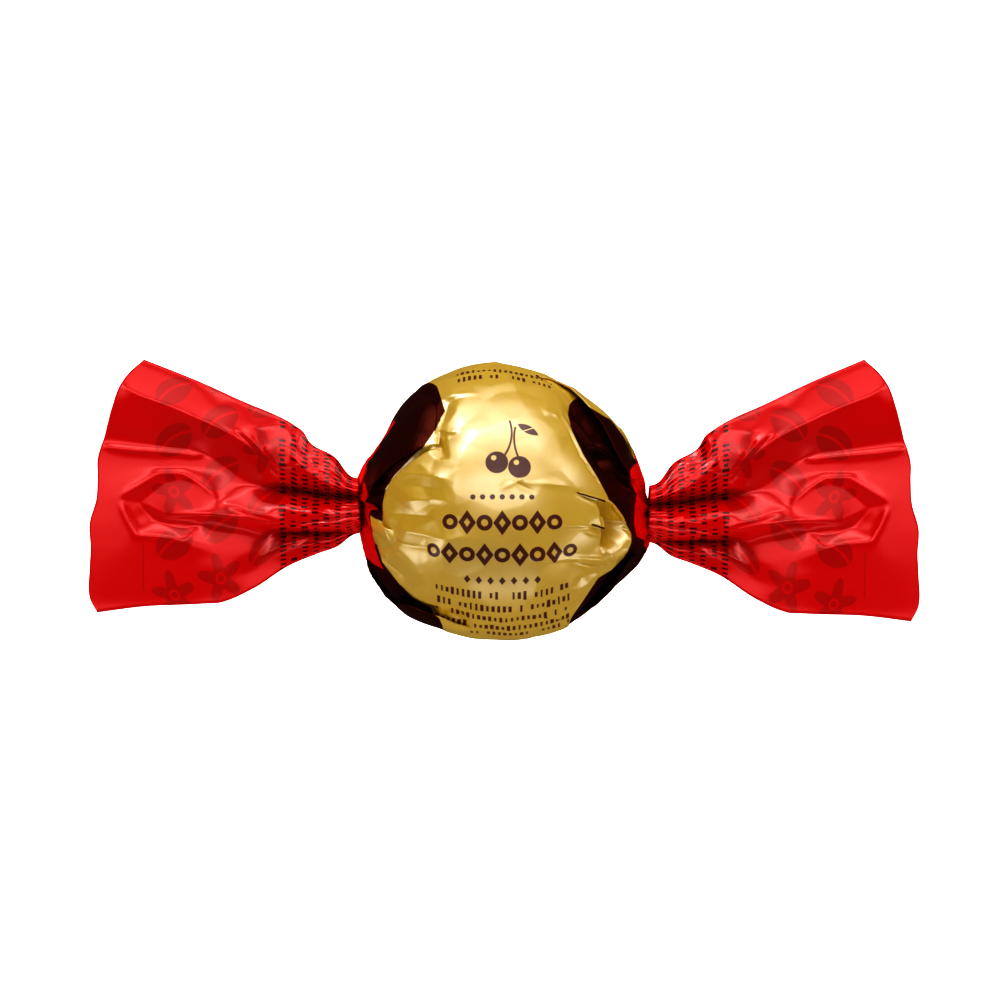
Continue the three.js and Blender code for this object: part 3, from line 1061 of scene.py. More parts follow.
    def build(self, material: bpy.types.Material) -> bpy.types.Object:
        """Build the skin over the ball, closed with a point at each neck.

        Args:
            material: the printed film.

        Returns:
            The piece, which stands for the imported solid.
        """
        grid = self.places()
        poles = np.array([[-1.0, 0.0, 0.0], [1.0, 0.0, 0.0]])
        places = np.vstack([grid, poles])
        smooth = self.at(places, np.zeros(len(places)))
        height = self.draped(places) + self.crease_height(places, smooth)
        height += self.dent_height(places)
        points = self.at(places, height)
        faces = grid_faces(self.rows, self.columns, wraps=True)
        first = np.arange(self.columns)
        ends = []
        for pole, ring in ((len(grid), first), (len(grid) + 1, first + len(grid) - self.columns)):
            centre = np.full(self.columns, pole)
            beside = np.roll(ring, -1)
            fan = np.column_stack([centre, beside, ring, ring])
            ends.append(fan if pole == len(grid) else fan[:, [1, 0, 2, 2]])
        faces = np.vstack([faces, *ends])
        piece = make_piece("film_ball", points, faces, self.print_marks(points, places), material)
        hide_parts(NODE)
        return piece


@dataclass
class FilmFold:
    """A fold of film on the ball, built as a wedge that overhangs the skin.

    Attributes:
        ball: the ball that it lies on.
        fold: where it lies and how it looks.
        rows: sections along the fold.
        lip: radius of its rounded free edge.
        overhang: share of its width that stands free of the skin.
        sunk: how far its hidden parts lie below the skin.
        root_depth: how far below the skin its top begins.
        taper: share of its length over which the lift grows from each end.
        top_count, lip_count, under_count, hidden_count: points on each part of its section.
    """

    ball: FilmBall
    fold: Fold
    rows: int = 110
    lip: float = 0.07
    overhang: float = 0.45
    sunk: float = 0.7
    root_depth: float = 0.15
    taper: float = 0.3
    top_count: int = 18
    lip_count: int = 6
    under_count: int = 9
    hidden_count: int = 4

    def section(self) -> tuple[Array, Array, Array]:
        """Return the loop of points round the fold's section.

        The top rises from the skin as 1 - (1 - t)^bend, the edge is half a circle, the underside
        goes back down by a quarter circle under the overhang, and the rest lies under the skin. A
        band is level on top and has an edge and an underside on both sides.

        Returns:
            Shares of the way from root to edge, shares of the lift, and heights without the lift.
        """
        rise = np.linspace(0.0, 1.0, self.top_count)
        around = np.linspace(0.0, math.pi, self.lip_count + 2)[1:-1]
        under = np.linspace(1.0, 0.0, self.under_count)
        free = np.r_[np.ones(len(around)), 1.0 - self.overhang * (1 - under)]
        free_lift = np.r_[np.ones(len(around)), np.sqrt(under)]
        free_plain = np.r_[
            self.lip * (np.cos(around) - 1.0),
            -2 * self.lip - self.sunk * (1 - np.sqrt(under)),
        ]
        if self.fold.band:
            shares = np.r_[rise, free, (1.0 - free)[::-1]]
            lifted = np.r_[np.ones(len(rise)), free_lift, free_lift[::-1]]
            plain = np.r_[np.zeros(len(rise)), free_plain, free_plain[::-1]]
            return shares, lifted, plain
        hidden = np.linspace(1.0 - self.overhang, 0.0, self.hidden_count + 1)[1:]
        floor = np.full(len(hidden), free_plain[-1])
        shares = np.r_[rise, free, hidden]
        lifted = np.r_[1.0 - (1.0 - rise) ** self.fold.bend, free_lift, 0.0 * hidden]
        plain = np.r_[self.root_depth * (rise - 1.0) ** 3, free_plain, floor]
        return shares, lifted, plain

    def build(self, material: bpy.types.Material) -> bpy.types.Object:
        """Build the fold, closed at both ends.

        Args:
            material: the printed film.

        Returns:
            The piece.
        """
        fold = self.fold
        edge = curve_through(fold.edge, self.rows)
        root = curve_through(fold.root, self.rows)
        shares, lifted, plain = self.section()
        plan = root[:, None] + (edge - root)[:, None] * shares[None, :, None]
        plan = plan.reshape(-1, 2)
        along = np.linspace(0.0, 1.0, self.rows)
        first, last = fold.ends
        taper = smoothstep(0.0, self.taper, along) * (1 - first) + first
        taper = np.minimum(taper, smoothstep(1.0, 1.0 - self.taper, along) * (1 - last) + last)
        lift = (fold.lift + self.root_depth) * taper[:, None] * lifted[None, :]
        height = lift - self.root_depth + plain[None, :]
        places = self.ball.places_at(plan, fold.side)
        points = self.ball.at(places, self.ball.draped(places) + height.ravel())

        columns, count = len(shares), len(points)
        first_ring = np.arange(columns)
        beside = np.roll(first_ring, -1)
        to_last = count - columns
        middle = np.full(columns, count)
        caps = (
            np.column_stack([middle, beside, first_ring, first_ring]),
            np.column_stack([middle + 1, first_ring + to_last, beside + to_last, beside + to_last]),
        )
        faces = np.vstack([grid_faces(self.rows, columns, wraps=True), *caps])
        middles = (points[:columns].mean(axis=0), points[-columns:].mean(axis=0))
        points = np.vstack([points, *middles])
        places = np.vstack([places, places[:1], places[-1:]])
        marks = self.ball.print_marks(points, places)
        # On the two small flaps beside the right corner this line leaves a brown strip at the free
        # edge, which is painted shade of the slit below.
        if fold.print_and_shade_line is not None:
            near = nearest_on(np.array(fold.print_and_shade_line), points[:, :2])
            marks["gold_edge"] = near.distance * near.side
        else:
            marks["gold_edge"] = np.full(len(points), 1.0 if fold.ink is Ink.GOLD else -1.0)
        if fold.ink is Ink.GOLD:
            marks["red_edge"] = np.full(len(points), -1.0)
        marks["film"][:, 2] = 0.0
        return make_piece(fold.name, points, faces, marks, material)


# --- the pleated tails --------------------------------------------------------------------------


@dataclass(frozen=True)
class FoldLine:
    """A fold in a tail.

    Attributes:
        route: places on it, as distance out from the ball's middle, distance up the label and
            height above the tail's plane.
        sharp: whether the film keeps its corner there.
        pinch: height of a narrow welt along it, negative for a groove.
        width: how far from the line the welt falls to about a third.
    """

    route: Route
    sharp: bool = False
    pinch: float = 0.0
    width: float = 0.35


def from_left_tail(*places: tuple[float, ...]) -> Route:
    """Turn pixels of the left tail into distances out from the middle and up the label."""
    return tuple((-x, y, *rest) for x, y, *rest in from_photo(*places))


UPPER_RIM = from_left_tail(
    (359, 479, 0), (354, 478, 0), (334, 457, 0), (310, 443, 0.2), (302, 431, 0.3),
    (295, 426, 0.5), (239, 400, 0.6), (198, 381.5, 0.3), (144, 360, 0),
)
LOWER_RIM = from_left_tail(
    (361.5, 532, -0.4), (354, 534, -0.6), (337, 546, -1.0), (318, 553, -1.2), (289, 565, -1.4),
    (253, 588, -1.3), (226, 600.5, -1.0), (219, 602.5, -0.95), (210, 603, -0.9),
    (191, 604, -0.8), (144.5, 606, -0.5), (97, 612, -0.35),
)
CUT_EDGE = from_left_tail(
    (144, 360, 0), (129, 374, 0.8), (122, 384, 1.35), (113, 407, 1.1), (107, 428, 0.5),
    (104, 439, 0.05), (101.5, 446, 0.3), (98, 459, 0.2), (98, 476, 0.3), (97, 498, 0.4),
    (90, 524, 0.35), (91, 548, 0.2), (90, 566, 0.05), (91, 601.5, -0.3), (97, 612, -0.35),
)
NECK_EDGE = from_left_tail(
    (359, 479, 0), (360, 492, 0.6), (360, 498, -1.0), (360, 512, 1.0), (360, 528.5, 1.2),
    (360, 531, -1.0), (361.5, 532, -0.4),
)
TAIL_FOLDS = {
    "crest": FoldLine(from_left_tail(
        (122, 384, 1.35), (140, 395, 1.45), (170, 406, 1.55), (195, 417, 1.65), (218, 427, 1.75),
    ), pinch=0.24, width=0.6),
    "crest near the neck": FoldLine(from_left_tail(
        (218, 427, 1.75), (233, 435, 1.75), (245, 443, 1.6), (258, 455, 1.3), (270, 470, 0.7),
        (277, 479, 0.1),
    ), sharp=True, pinch=0.22),
    "slope below the crest": FoldLine(from_left_tail(
        (107, 428, 0.5), (150, 434, 0.55), (190, 440, 0.5), (215, 446, 0.5), (240, 458, 0.3),
        (262, 473, -0.2),
    )),
    "valley": FoldLine(from_left_tail(
        (104, 439, 0.05), (150, 444.5, 0.05), (190, 449, -0.2), (204, 452.5, -0.4),
        (214, 457.5, -0.5), (230, 469, -0.55), (250, 484, -0.85), (262, 487, -1.3),
        (277, 489, -1.9),
    )),
    "middle ridge": FoldLine(from_left_tail(
        (101.5, 446, 0.3), (130, 449.5, 0.32), (160, 451.5, 0.3), (186, 453.5, 0.15),
        (208, 457, -0.3),
    ), sharp=True, pinch=0.3, width=0.28),
    "plateau": FoldLine(from_left_tail(
        (98, 459, 0.2), (130, 463, 0.15), (160, 467.5, 0.1), (190, 468, 0.05), (215, 475, -0.3),
    )),
    "top of the dent": FoldLine(from_left_tail(
        (118, 498.5, 0.5), (160, 473, 0.35), (183, 473, 0.35), (200, 483, 0.35), (212, 493, 0.3),
        (220, 502, 0.15),
    ), sharp=True, pinch=0.15),
    "panel in the dent": FoldLine(from_left_tail(
        (183, 473, 0.35), (165, 483, 0.1), (150, 494, -0.1), (139, 502.5, -0.15),
        (160, 512.5, 0.05), (165, 516, 0.1),
    ), sharp=True),
    "wall of the dent": FoldLine(from_left_tail((118, 498.5, 0.5), (139, 502.5, -0.15)), sharp=True),
    "floor of the dent": FoldLine(from_left_tail(
        (139, 502.5, -0.15), (148, 512, -0.45), (156, 521, -0.6), (165, 516, 0.1),
    ), sharp=True),
    "rim of the dent": FoldLine(from_left_tail(
        (118, 498.5, 0.5), (123, 508, 0.45), (129, 521, 0.42), (137, 534.5, 0.4),
        (160, 536, 0.38), (172, 537.5, 0.36), (183, 541, 0.35),
    ), sharp=True, pinch=0.22),
    "facets below the dent": FoldLine(from_left_tail(
        (137, 534.5, 0.4), (156, 521, -0.6), (183, 541, 0.35), (200, 524, -0.5),
    ), sharp=True, pinch=0.05),
    "lower ridge": FoldLine(from_left_tail(
        (165, 516, 0.1), (175, 515, 0.35), (190, 514.5, 0.5), (215, 514.5, 0.65),
        (245, 518, 0.9), (270, 523, 1.1), (302, 527, 1.25), (360, 528.5, 1.2),
    ), sharp=True, pinch=0.14),
    "lower valley": FoldLine(from_left_tail(
        (156, 521, -0.6), (175, 523, -0.45), (200, 524, -0.5), (225, 527, -0.65),
        (250, 530, -0.9), (270, 533, -1.7),
    )),
    "lower crease": FoldLine(from_left_tail(
        (270, 533, -1.7), (293, 533, -2.0), (321, 532.5, -1.8), (360, 531, -1.0),
    ), sharp=True, pinch=-1.0, width=0.4),
    "lower break": FoldLine(from_left_tail(
        (91, 548, 0.2), (120, 553, 0.2), (150, 558, 0.1), (185, 560, -0.1), (220, 552, -0.5),
    )),
    "lower panel": FoldLine(from_left_tail(
        (250, 530, -0.9), (246, 552, -0.7), (228, 573, -0.7), (209, 594, -0.85),
    )),
    "lower dark pleat": FoldLine(from_left_tail(
        (270, 533, -1.7), (263, 553, -1.3), (252, 573, -1.4),
    )),
    "second ridge": FoldLine(from_left_tail(
        (239, 429.5, 1.6), (250, 438, 1.8), (262, 451, 1.65), (272, 463, 1.25), (277.5, 470, 0.9),
        (278, 476, 0.4),
    ), sharp=True, pinch=0.22),
    "stripe beside the crest": FoldLine(from_left_tail(
        (239, 429.5, 1.6), (242, 435.5, 1.4), (253, 446.5, 1.25), (265, 460.5, 0.85),
        (275, 474, 0.2),
    )),
    "second facet": FoldLine(from_left_tail(
        (239, 429.5, 1.6), (256, 428, 1.1), (282, 425, 0.75), (288, 450, 1.0), (284, 467, 1.0),
        (277.5, 470, 0.9),
    ), sharp=True, pinch=0.06),
    "crease in the panel": FoldLine(from_left_tail(
        (233, 435, 1.75), (225, 422, 1.4), (222, 410, 0.8),
    )),
    "upper crease": FoldLine(from_left_tail(
        (277, 489, -1.9), (302, 492, -2.0), (326, 496, -1.5), (360, 498, -1.0),
    ), sharp=True, pinch=-1.1, width=0.4),
    "upper pleat": FoldLine(from_left_tail(
        (288, 450, 1.0), (302, 465, 1.2), (318, 479, 1.1), (339, 487, 0.9), (360, 492, 0.6),
    ), sharp=True, pinch=0.15),
    "pleat edge": FoldLine(from_left_tail(
        (220, 502, 0.15), (236, 506, 0.6), (250, 511, 0.95), (265, 514, 1.15), (284, 520, 1.25),
    ), sharp=True, pinch=0.12),
    "middle pleat": FoldLine(from_left_tail(
        (262, 500, 0.2), (284, 505, 1.2), (300, 508, 1.5), (330, 511, 1.5), (360, 512, 1.0),
    )),
    "rim pleat": FoldLine(from_left_tail(
        (302, 431, 0.3), (297, 443, 0.9), (305, 458, 0.7), (334, 457, 0),
    ), sharp=True, pinch=0.15),
    "lower pleat": FoldLine(from_left_tail(
        (270, 533, -1.7), (290, 545, -1.2), (320, 543, -1.2), (345, 538, -1.0),
    )),
}


@dataclass
class PleatedTail:
    """A tail of film: two layers that are one folded tube, open at its cut edge.

    Attributes:
        name: the piece's name.
        direction: -1 for the tail on the left and +1 for the one on the right.
        shift: how far its plan is moved along X and Y.
        stretch: how much wider its plan is than the left tail's.
        lean: how far it drifts up the label for each millimetre out.
        level: height of the tail's plane above the surface that the ball rests on.
        rows: points from the neck to the cut edge.
        columns: points across each layer.
        relief: depth of the upper layer's folds against the net's.
        lower_relief: the same for the lower layer, which is upside down.
        softening: rounds of softening of the panels, of the sharp lines and of the lower layer.
        crisp_width: how far from a sharp line the film stays crisp.
        sag: how far the lower layer hangs below its folds in the middle.
        gap: how far it keeps below the upper layer.
        film_thickness: thickness of the film's wall.
        neck_half_height: half the height of the round neck.
        neck_share: share of the length over which the neck's round and its pleats die out.
        pleat_depth: depth of those pleats.
        print_widths: width of the print at the neck and at the cut edge.
        seed: of the neck's pleats. That of the wrinkles is WRINKLE_SEED more.
    """

    name: str
    direction: float
    shift: tuple[float, float] = (0.0, 0.0)
    stretch: float = 1.0
    lean: float = 0.0
    level: float = 17.6
    rows: int = 132
    columns: int = 146
    relief: float = 1.15
    lower_relief: float = -0.7
    softening: tuple[int, int, int] = (16, 2, 30)
    crisp_width: float = 0.8
    sag: float = 0.8
    gap: float = 0.5
    film_thickness: float = 0.07
    neck_half_height: float = 2.7
    neck_share: float = 0.34
    pleat_depth: float = 0.42
    print_widths: tuple[float, float] = (13.0, 32.0)
    seed: int = 3

    PLEAT_COUNTS = (5, 8, 11, 15)
    # Sharp wrinkles near the neck, with the ranges of where across the tail and where out they
    # begin, how far out they run, and their heights and widths.
    WRINKLE_SEED = 40
    WRINKLES = 44
    WRINKLE_PLACES = (0.03, 0.97)
    WRINKLE_SLANT = 0.5
    WRINKLE_BEGINS = (0.0, 0.16)
    WRINKLE_REACHES = (0.1, 0.3)
    WRINKLE_HEIGHTS = (-0.34, 0.42)
    WRINKLE_WIDTHS = (0.14, 0.34)

    def shares(self) -> tuple[Array, Array]:
        """Return the shares of the way out, as a column, and of the way across, as a row."""
        out, across = np.linspace(0.0, 1.0, self.rows), np.linspace(0.0, 1.0, self.columns)
        return out[:, None], across[None, :]

    def plan(self) -> Array:
        """Work out the plan's grid, rows from the neck to the cut edge and columns across.

        It is a Coons patch: the blend of the two rims plus the blend of the two edges, less the
        blend of the four corners.

        Returns:
            The grid of places in the plan.
        """
        upper = curve_through([place[:2] for place in UPPER_RIM], self.rows)
        lower = curve_through([place[:2] for place in LOWER_RIM], self.rows)
        cut = curve_through([place[:2] for place in CUT_EDGE], self.columns)
        out, across = (share[..., None] for share in self.shares())
        neck = upper[0] + (lower[0] - upper[0]) * across[0]
        rims = (1 - across) * upper[:, None] + across * lower[:, None]
        edges = (1 - out) * neck[None] + out * cut[None]
        ends = [(1 - across) * edge[0] + across * edge[-1] for edge in (neck, cut)]
        return rims + edges - ((1 - out) * ends[0] + out * ends[1])

    def layers(self, plan: Array) -> tuple[Array, Array]:
        """Work out the heights of the two layers of film over the plan.

        The upper layer is the net of folds, softened but for its sharp lines, with a welt along
        each line. The lower one is the same net upside down and turned end for end across, less
        deep, brought to the same rims and kept under the upper one. Towards the neck both bulge
        to a round section with pleats, the absolute values of sines across it.

        Args:
            plan: the plan's grid.

        Returns:
            The heights of the upper and of the lower layer.
        """
        folds = [line.route for line in TAIL_FOLDS.values()]
        net = FoldNet([UPPER_RIM, LOWER_RIM, CUT_EDGE, NECK_EDGE, *folds])
        flat = plan.reshape(-1, 2)
        folded = net.height(flat).reshape(plan.shape[:2])
        sharp = np.zeros(len(flat))
        welts = np.zeros(len(flat))
        for line in TAIL_FOLDS.values():
            near = nearest_on(np.array(line.route)[:, :2], flat)
            if line.sharp:
                sharp = np.maximum(sharp, np.exp(-((near.distance / self.crisp_width) ** 2)))
            fade = smoothstep(0.0, 0.15, near.share) * smoothstep(1.0, 0.85, near.share)
            welts += line.pinch * np.exp(-near.distance / line.width) * fade
        sharp = sharp.reshape(plan.shape[:2])
        welts = welts.reshape(plan.shape[:2])
        panels, lines, under = self.softening
        upper = soften(folded, panels) * (1 - sharp) + soften(folded, lines) * sharp
        upper = upper * self.relief + welts + self.wrinkles(plan)

        out, across = self.shares()
        arch = np.sin(math.pi * across)
        lower = self.lower_relief * soften(folded[:, ::-1], under)
        lower += (upper[:, :1] - lower[:, :1]) * (1 - across)
        lower += (upper[:, -1:] - lower[:, -1:]) * across
        lower = np.minimum(lower - self.sag * arch, upper - self.gap * np.sqrt(arch))

        gathered = np.clip(1 - out / self.neck_share, 0, 1) ** 1.5
        circle = np.sqrt(np.clip(1 - (2 * across - 1) ** 2, 0, 1))
        bulge = self.neck_half_height * circle * gathered
        chance = np.random.default_rng(self.seed)
        waves = np.zeros_like(folded)
        for count in self.PLEAT_COUNTS:
            phase, drift = chance.uniform(0, 6.3), chance.uniform(-2, 2)
            waves += np.abs(np.sin(count * math.pi * across / 2 + phase + drift * out)) - 0.6
        pleats = self.pleat_depth * waves * gathered * arch
        return upper + bulge + pleats, lower - bulge - np.roll(pleats, 9, axis=1)

    def wrinkles(self, plan: Array) -> Array:
        """Work out the height of the sharp wrinkles that run out from the neck.

        Each is an exponential of the distance across the tail from a slanting line, and fades in
        and out along it.

        Args:
            plan: the plan's grid.

        Returns:
            A height for each point of the grid.
        """
        chance = np.random.default_rng(self.seed + self.WRINKLE_SEED)
        out, across = self.shares()
        width = np.linalg.norm(plan[:, -1] - plan[:, 0], axis=1)[:, None]
        total = np.zeros(plan.shape[:2])
        for _ in range(self.WRINKLES):
            where = chance.uniform(*self.WRINKLE_PLACES)
            slant = chance.normal(scale=self.WRINKLE_SLANT)
            begin = chance.uniform(*self.WRINKLE_BEGINS)
            reach = chance.uniform(*self.WRINKLE_REACHES)
            height = chance.uniform(*self.WRINKLE_HEIGHTS)
            breadth = chance.uniform(*self.WRINKLE_WIDTHS)
            gap = np.abs(across - where - slant * (out - begin)) * width
            share = (out - begin) / reach
            fade = smoothstep(0.0, 0.3, share) * smoothstep(1.0, 0.4, share)
            total += height * np.exp(-gap / breadth) * fade
        return total * np.sqrt(np.sin(math.pi * across))

    def place(self, plan: Array, height: Array) -> Array:
        """Put a grid of the left tail's plan and its heights on this tail's side.

        Args:
            plan: the grid, as distances out from the ball's middle and up the label.
            height: one height for each of its points.

        Returns:
            The points.
        """
        x = self.direction * (plan[..., 0] + self.shift[0])
        y = self.stretch * plan[..., 1] + self.shift[1] + self.lean * plan[..., 0]
        return np.stack([x, y, self.level + height], axis=-1)

    def build(self, material: bpy.types.Material) -> bpy.types.Object:
        """Build the tail as a tube of film with a wall.

        Round each ring of points the upper layer runs from rim to rim and the lower one back. The
        inner wall is the same grid moved in along its normals by the film's thickness, and a
        strip joins the walls at each end.

        Args:
            material: the red film.

        Returns:
            The piece.
        """
        plan = self.plan()
        upper, lower = self.layers(plan)
        back = slice(-2, 0, -1)
        ring = np.concatenate([self.place(plan, upper), self.place(plan, lower)[:, back]], axis=1)
        along = np.gradient(ring, axis=0)
        round_it = np.roll(ring, -1, axis=1) - np.roll(ring, 1, axis=1)
        normals = unit(np.cross(along, round_it)) * self.direction
        inner = ring - normals * self.film_thickness

        rows, columns = ring.shape[:2]
        outer_faces = grid_faces(rows, columns, wraps=True)
        count = rows * columns
        inner_faces = outer_faces[:, ::-1] + count
        first = np.arange(columns)
        strips = []
        for ring_start, order in ((0, (0, 3, 2, 1)), (count - columns, (0, 1, 2, 3))):
            edge = first + ring_start
            beside = np.roll(edge, -1)
            strip = np.column_stack([edge, edge + count, beside + count, beside])
            strips.append(strip[:, order])
        faces = np.vstack([outer_faces, inner_faces, *strips])
        points = np.vstack([ring.reshape(-1, 3), inner.reshape(-1, 3)])

        neck_x = UPPER_RIM[0][0]
        width = np.linspace(*self.print_widths, self.rows)[:, None]
        across = np.linspace(-0.5, 0.5, self.columns)[None, :] * width
        out = plan[..., 0] - neck_x
        marks = np.stack([out, across, np.ones_like(out)], axis=-1)
        under = marks[:, back] * (1, 1, 0)
        film = np.concatenate([marks, under], axis=1).reshape(-1, 3)
        return make_piece(self.name, points, faces, {"film": np.vstack([film, film])}, material)


# --- materials ----------------------------------------------------------------------------------


Colour = tuple[float, float, float, float]
Disc = tuple[float, float, float]


def linear(red: float, green: float, blue: float) -> Colour:
    """Return a shader colour for red, green and blue as a screen shows them, 0 to 255.

    Each is a straight line near black and a power of 2.4 above it.

    Args:
        red: the red part.
        green: the green part.
        blue: the blue part.

    Returns:
        The colour, opaque.
    """
    shares = np.array([red, green, blue]) / 255.0
    values = np.where(shares <= 0.04045, shares / 12.92, ((shares + 0.055) / 1.055) ** 2.4)
    return (*map(float, values), 1.0)


WHITE = (1.0, 1.0, 1.0, 1.0)
PALE_GREY = linear(246, 246, 246)


class Field:
    """A number that varies over a surface, kept as a node's output. Arithmetic adds nodes."""

    def __init__(self, tree: bpy.types.NodeTree, output: bpy.types.NodeSocket) -> None:
        """Wrap an output of a node in a material's tree."""
        self.tree = tree
        self.output = output

    def apply(self, operation: str, *others: "Field | float") -> "Field":
        """Add a Math node on this number and the others, in order.

        Args:
            operation: the node's operation.
            others: its further inputs.

        Returns:
            The node's result.
        """
        node = self.tree.nodes.new("ShaderNodeMath")
        node.operation = operation
        self.tree.links.new(self.output, node.inputs[0])
        for socket, value in zip(node.inputs[1:], others):
            if isinstance(value, Field):
                self.tree.links.new(value.output, socket)
            else:
                socket.default_value = value
        return Field(self.tree, node.outputs[0])

    def __add__(self, other: "Field | float") -> "Field":
        """Return the sum."""
        return self.apply("ADD", other)

    def __sub__(self, other: "Field | float") -> "Field":
        """Return the difference."""
        return self.apply("SUBTRACT", other)

    def __mul__(self, other: "Field | float") -> "Field":
        """Return the product."""
        return self.apply("MULTIPLY", other)

    def __truediv__(self, other: "Field | float") -> "Field":
        """Return the quotient."""
        return self.apply("DIVIDE", other)

    def __abs__(self) -> "Field":
        """Return the size without its sign."""
        return self.apply("ABSOLUTE")

    def __neg__(self) -> "Field":
        """Return the number with its sign turned."""
        return self * -1.0

    def rest(self) -> "Field":
        """Return what the number lacks of 1."""
        return -self + 1.0

    def least(self, other: "Field | float") -> "Field":
        """Return the smaller, which joins two shapes given as signed distances."""
        return self.apply("MINIMUM", other)

    def most(self, other: "Field | float") -> "Field":
        """Return the larger, which keeps what two such shapes share."""
        return self.apply("MAXIMUM", other)

    def above(self, limit: float) -> "Field":
        """Return 1 where the number is over a limit and 0 elsewhere."""
        return self.apply("GREATER_THAN", limit)

    def floor(self) -> "Field":
        """Return the whole number below."""
        return self.apply("FLOOR")

    def number(self, pitch: float) -> "Field":
        """Return which repeat of a pitch the number is in, as the nearest whole number."""
        return (self / pitch + 0.5).floor()

    def within(self, pitch: float) -> "Field":
        """Return the place in a repeat of a pitch, from minus half of it to plus half."""
        share = (self / pitch + 0.5).apply("FRACT")
        return (share - 0.5) * pitch

    def length_with(self, other: "Field") -> "Field":
        """Return the length of the two numbers as the sides of a right angle."""
        return (self * self + other * other).apply("SQRT")

    def inked(self, blur: float = 0.05) -> "Field":
        """Turn a signed distance, negative inside, into ink: 1 inside and 0 outside.

        Args:
            blur: half the width of the soft edge.

        Returns:
            The ink.
        """
        node = self.tree.nodes.new("ShaderNodeMapRange")
        node.interpolation_type = "SMOOTHSTEP"
        node.inputs["From Min"].default_value = blur
        node.inputs["From Max"].default_value = -blur
        self.tree.links.new(self.output, node.inputs["Value"])
        return Field(self.tree, node.outputs["Result"])


def together(shapes: Iterable[Field]) -> Field:
    """Return the signed distance to shapes laid together."""
    return reduce(Field.least, shapes)


class Shader:
    """A material's tree with a Principled shader, and the sources that the films share."""

    def __init__(self, name: str) -> None:
        """Make the material.

        Args:
            name: the material's name.
        """
        self.material = bpy.data.materials.new(name)
        self.material.use_nodes = True
        self.tree = self.material.node_tree
        self.nodes = self.tree.nodes
        self.principled = self.nodes["Principled BSDF"]

    def attribute(self, name: str) -> bpy.types.Node:
        """Add a node that reads what a piece carries at its points.

        Args:
            name: the mark's name.

        Returns:
            The node.
        """
        node = self.nodes.new("ShaderNodeAttribute")
        node.attribute_name = name
        return node

    def mark(self, name: str) -> Field:
        """Return a number that the piece carries at its points."""
        return Field(self.tree, self.attribute(name).outputs["Fac"])

    def film(self) -> tuple[Field, Field, Field]:
        """Read where a point lies on the film.

        Returns:
            The distance along the film, the one across it, and 1 on its printed side.
        """
        parts = self.nodes.new("ShaderNodeSeparateXYZ")
        self.tree.links.new(self.attribute("film").outputs["Vector"], parts.inputs[0])
        along, across, side = (Field(self.tree, output) for output in parts.outputs)
        return along, across, side

    def noise(self, size: float, detail: float = 2.0) -> Field:
        """Add noise on the piece's own coordinates.

        Args:
            size: size of its grains in millimetres.
            detail: how many finer layers it has.

        Returns:
            The noise, from 0 to 1.
        """
        place = self.nodes.new("ShaderNodeTexCoord")
        node = self.nodes.new("ShaderNodeTexNoise")
        node.inputs["Scale"].default_value = 1.0 / (size * MM)
        node.inputs["Detail"].default_value = detail
        self.tree.links.new(place.outputs["Object"], node.inputs["Vector"])
        return Field(self.tree, node.outputs["Fac"])

    def chance(self, first: Field, second: Field) -> Field:
        """Draw a number for each pair of whole numbers.

        Args:
            first: the first of the pair.
            second: the second of the pair.

        Returns:
            The drawn number, from 0 to 1.
        """
        pair = self.nodes.new("ShaderNodeCombineXYZ")
        self.tree.links.new(first.output, pair.inputs[0])
        self.tree.links.new(second.output, pair.inputs[1])
        node = self.nodes.new("ShaderNodeTexWhiteNoise")
        node.noise_dimensions = "2D"
        self.tree.links.new(pair.outputs[0], node.inputs["Vector"])
        return Field(self.tree, node.outputs["Value"])

    def blend(
        self,
        share: Field,
        under: Colour | bpy.types.NodeSocket,
        over: Colour | bpy.types.NodeSocket,
    ) -> bpy.types.NodeSocket:
        """Lay one colour over another.

        Args:
            share: how much of the upper colour shows, from 0 to 1.
            under: the lower colour.
            over: the upper colour.

        Returns:
            The blended colour.
        """
        node = self.nodes.new("ShaderNodeMix")
        node.data_type = "RGBA"
        self.tree.links.new(share.output, node.inputs[0])
        for socket, colour in ((node.inputs[6], under), (node.inputs[7], over)):
            if isinstance(colour, bpy.types.NodeSocket):
                self.tree.links.new(colour, socket)
            else:
                socket.default_value = colour
        return node.outputs[2]

    def drive(self, name: str, value: Field | bpy.types.NodeSocket) -> None:
        """Let a number or a colour drive one of the shader's sockets."""
        output = value.output if isinstance(value, Field) else value
        self.tree.links.new(output, self.principled.inputs[name])

    def set(self, **values: float) -> None:
        """Set sockets that are the same all over, named with _ for a space."""
        for name, value in values.items():
            self.principled.inputs[name.replace("_", " ")].default_value = value

    def bump(self, height: Field, depth: float) -> None:
        """Raise the surface.

        Args:
            height: how much, from 0 to 1.
            depth: the full height in millimetres.
        """
        node = self.nodes.new("ShaderNodeBump")
        node.inputs["Distance"].default_value = depth * MM
        self.tree.links.new(height.output, node.inputs["Height"])
        self.tree.links.new(node.outputs["Normal"], self.principled.inputs["Normal"])


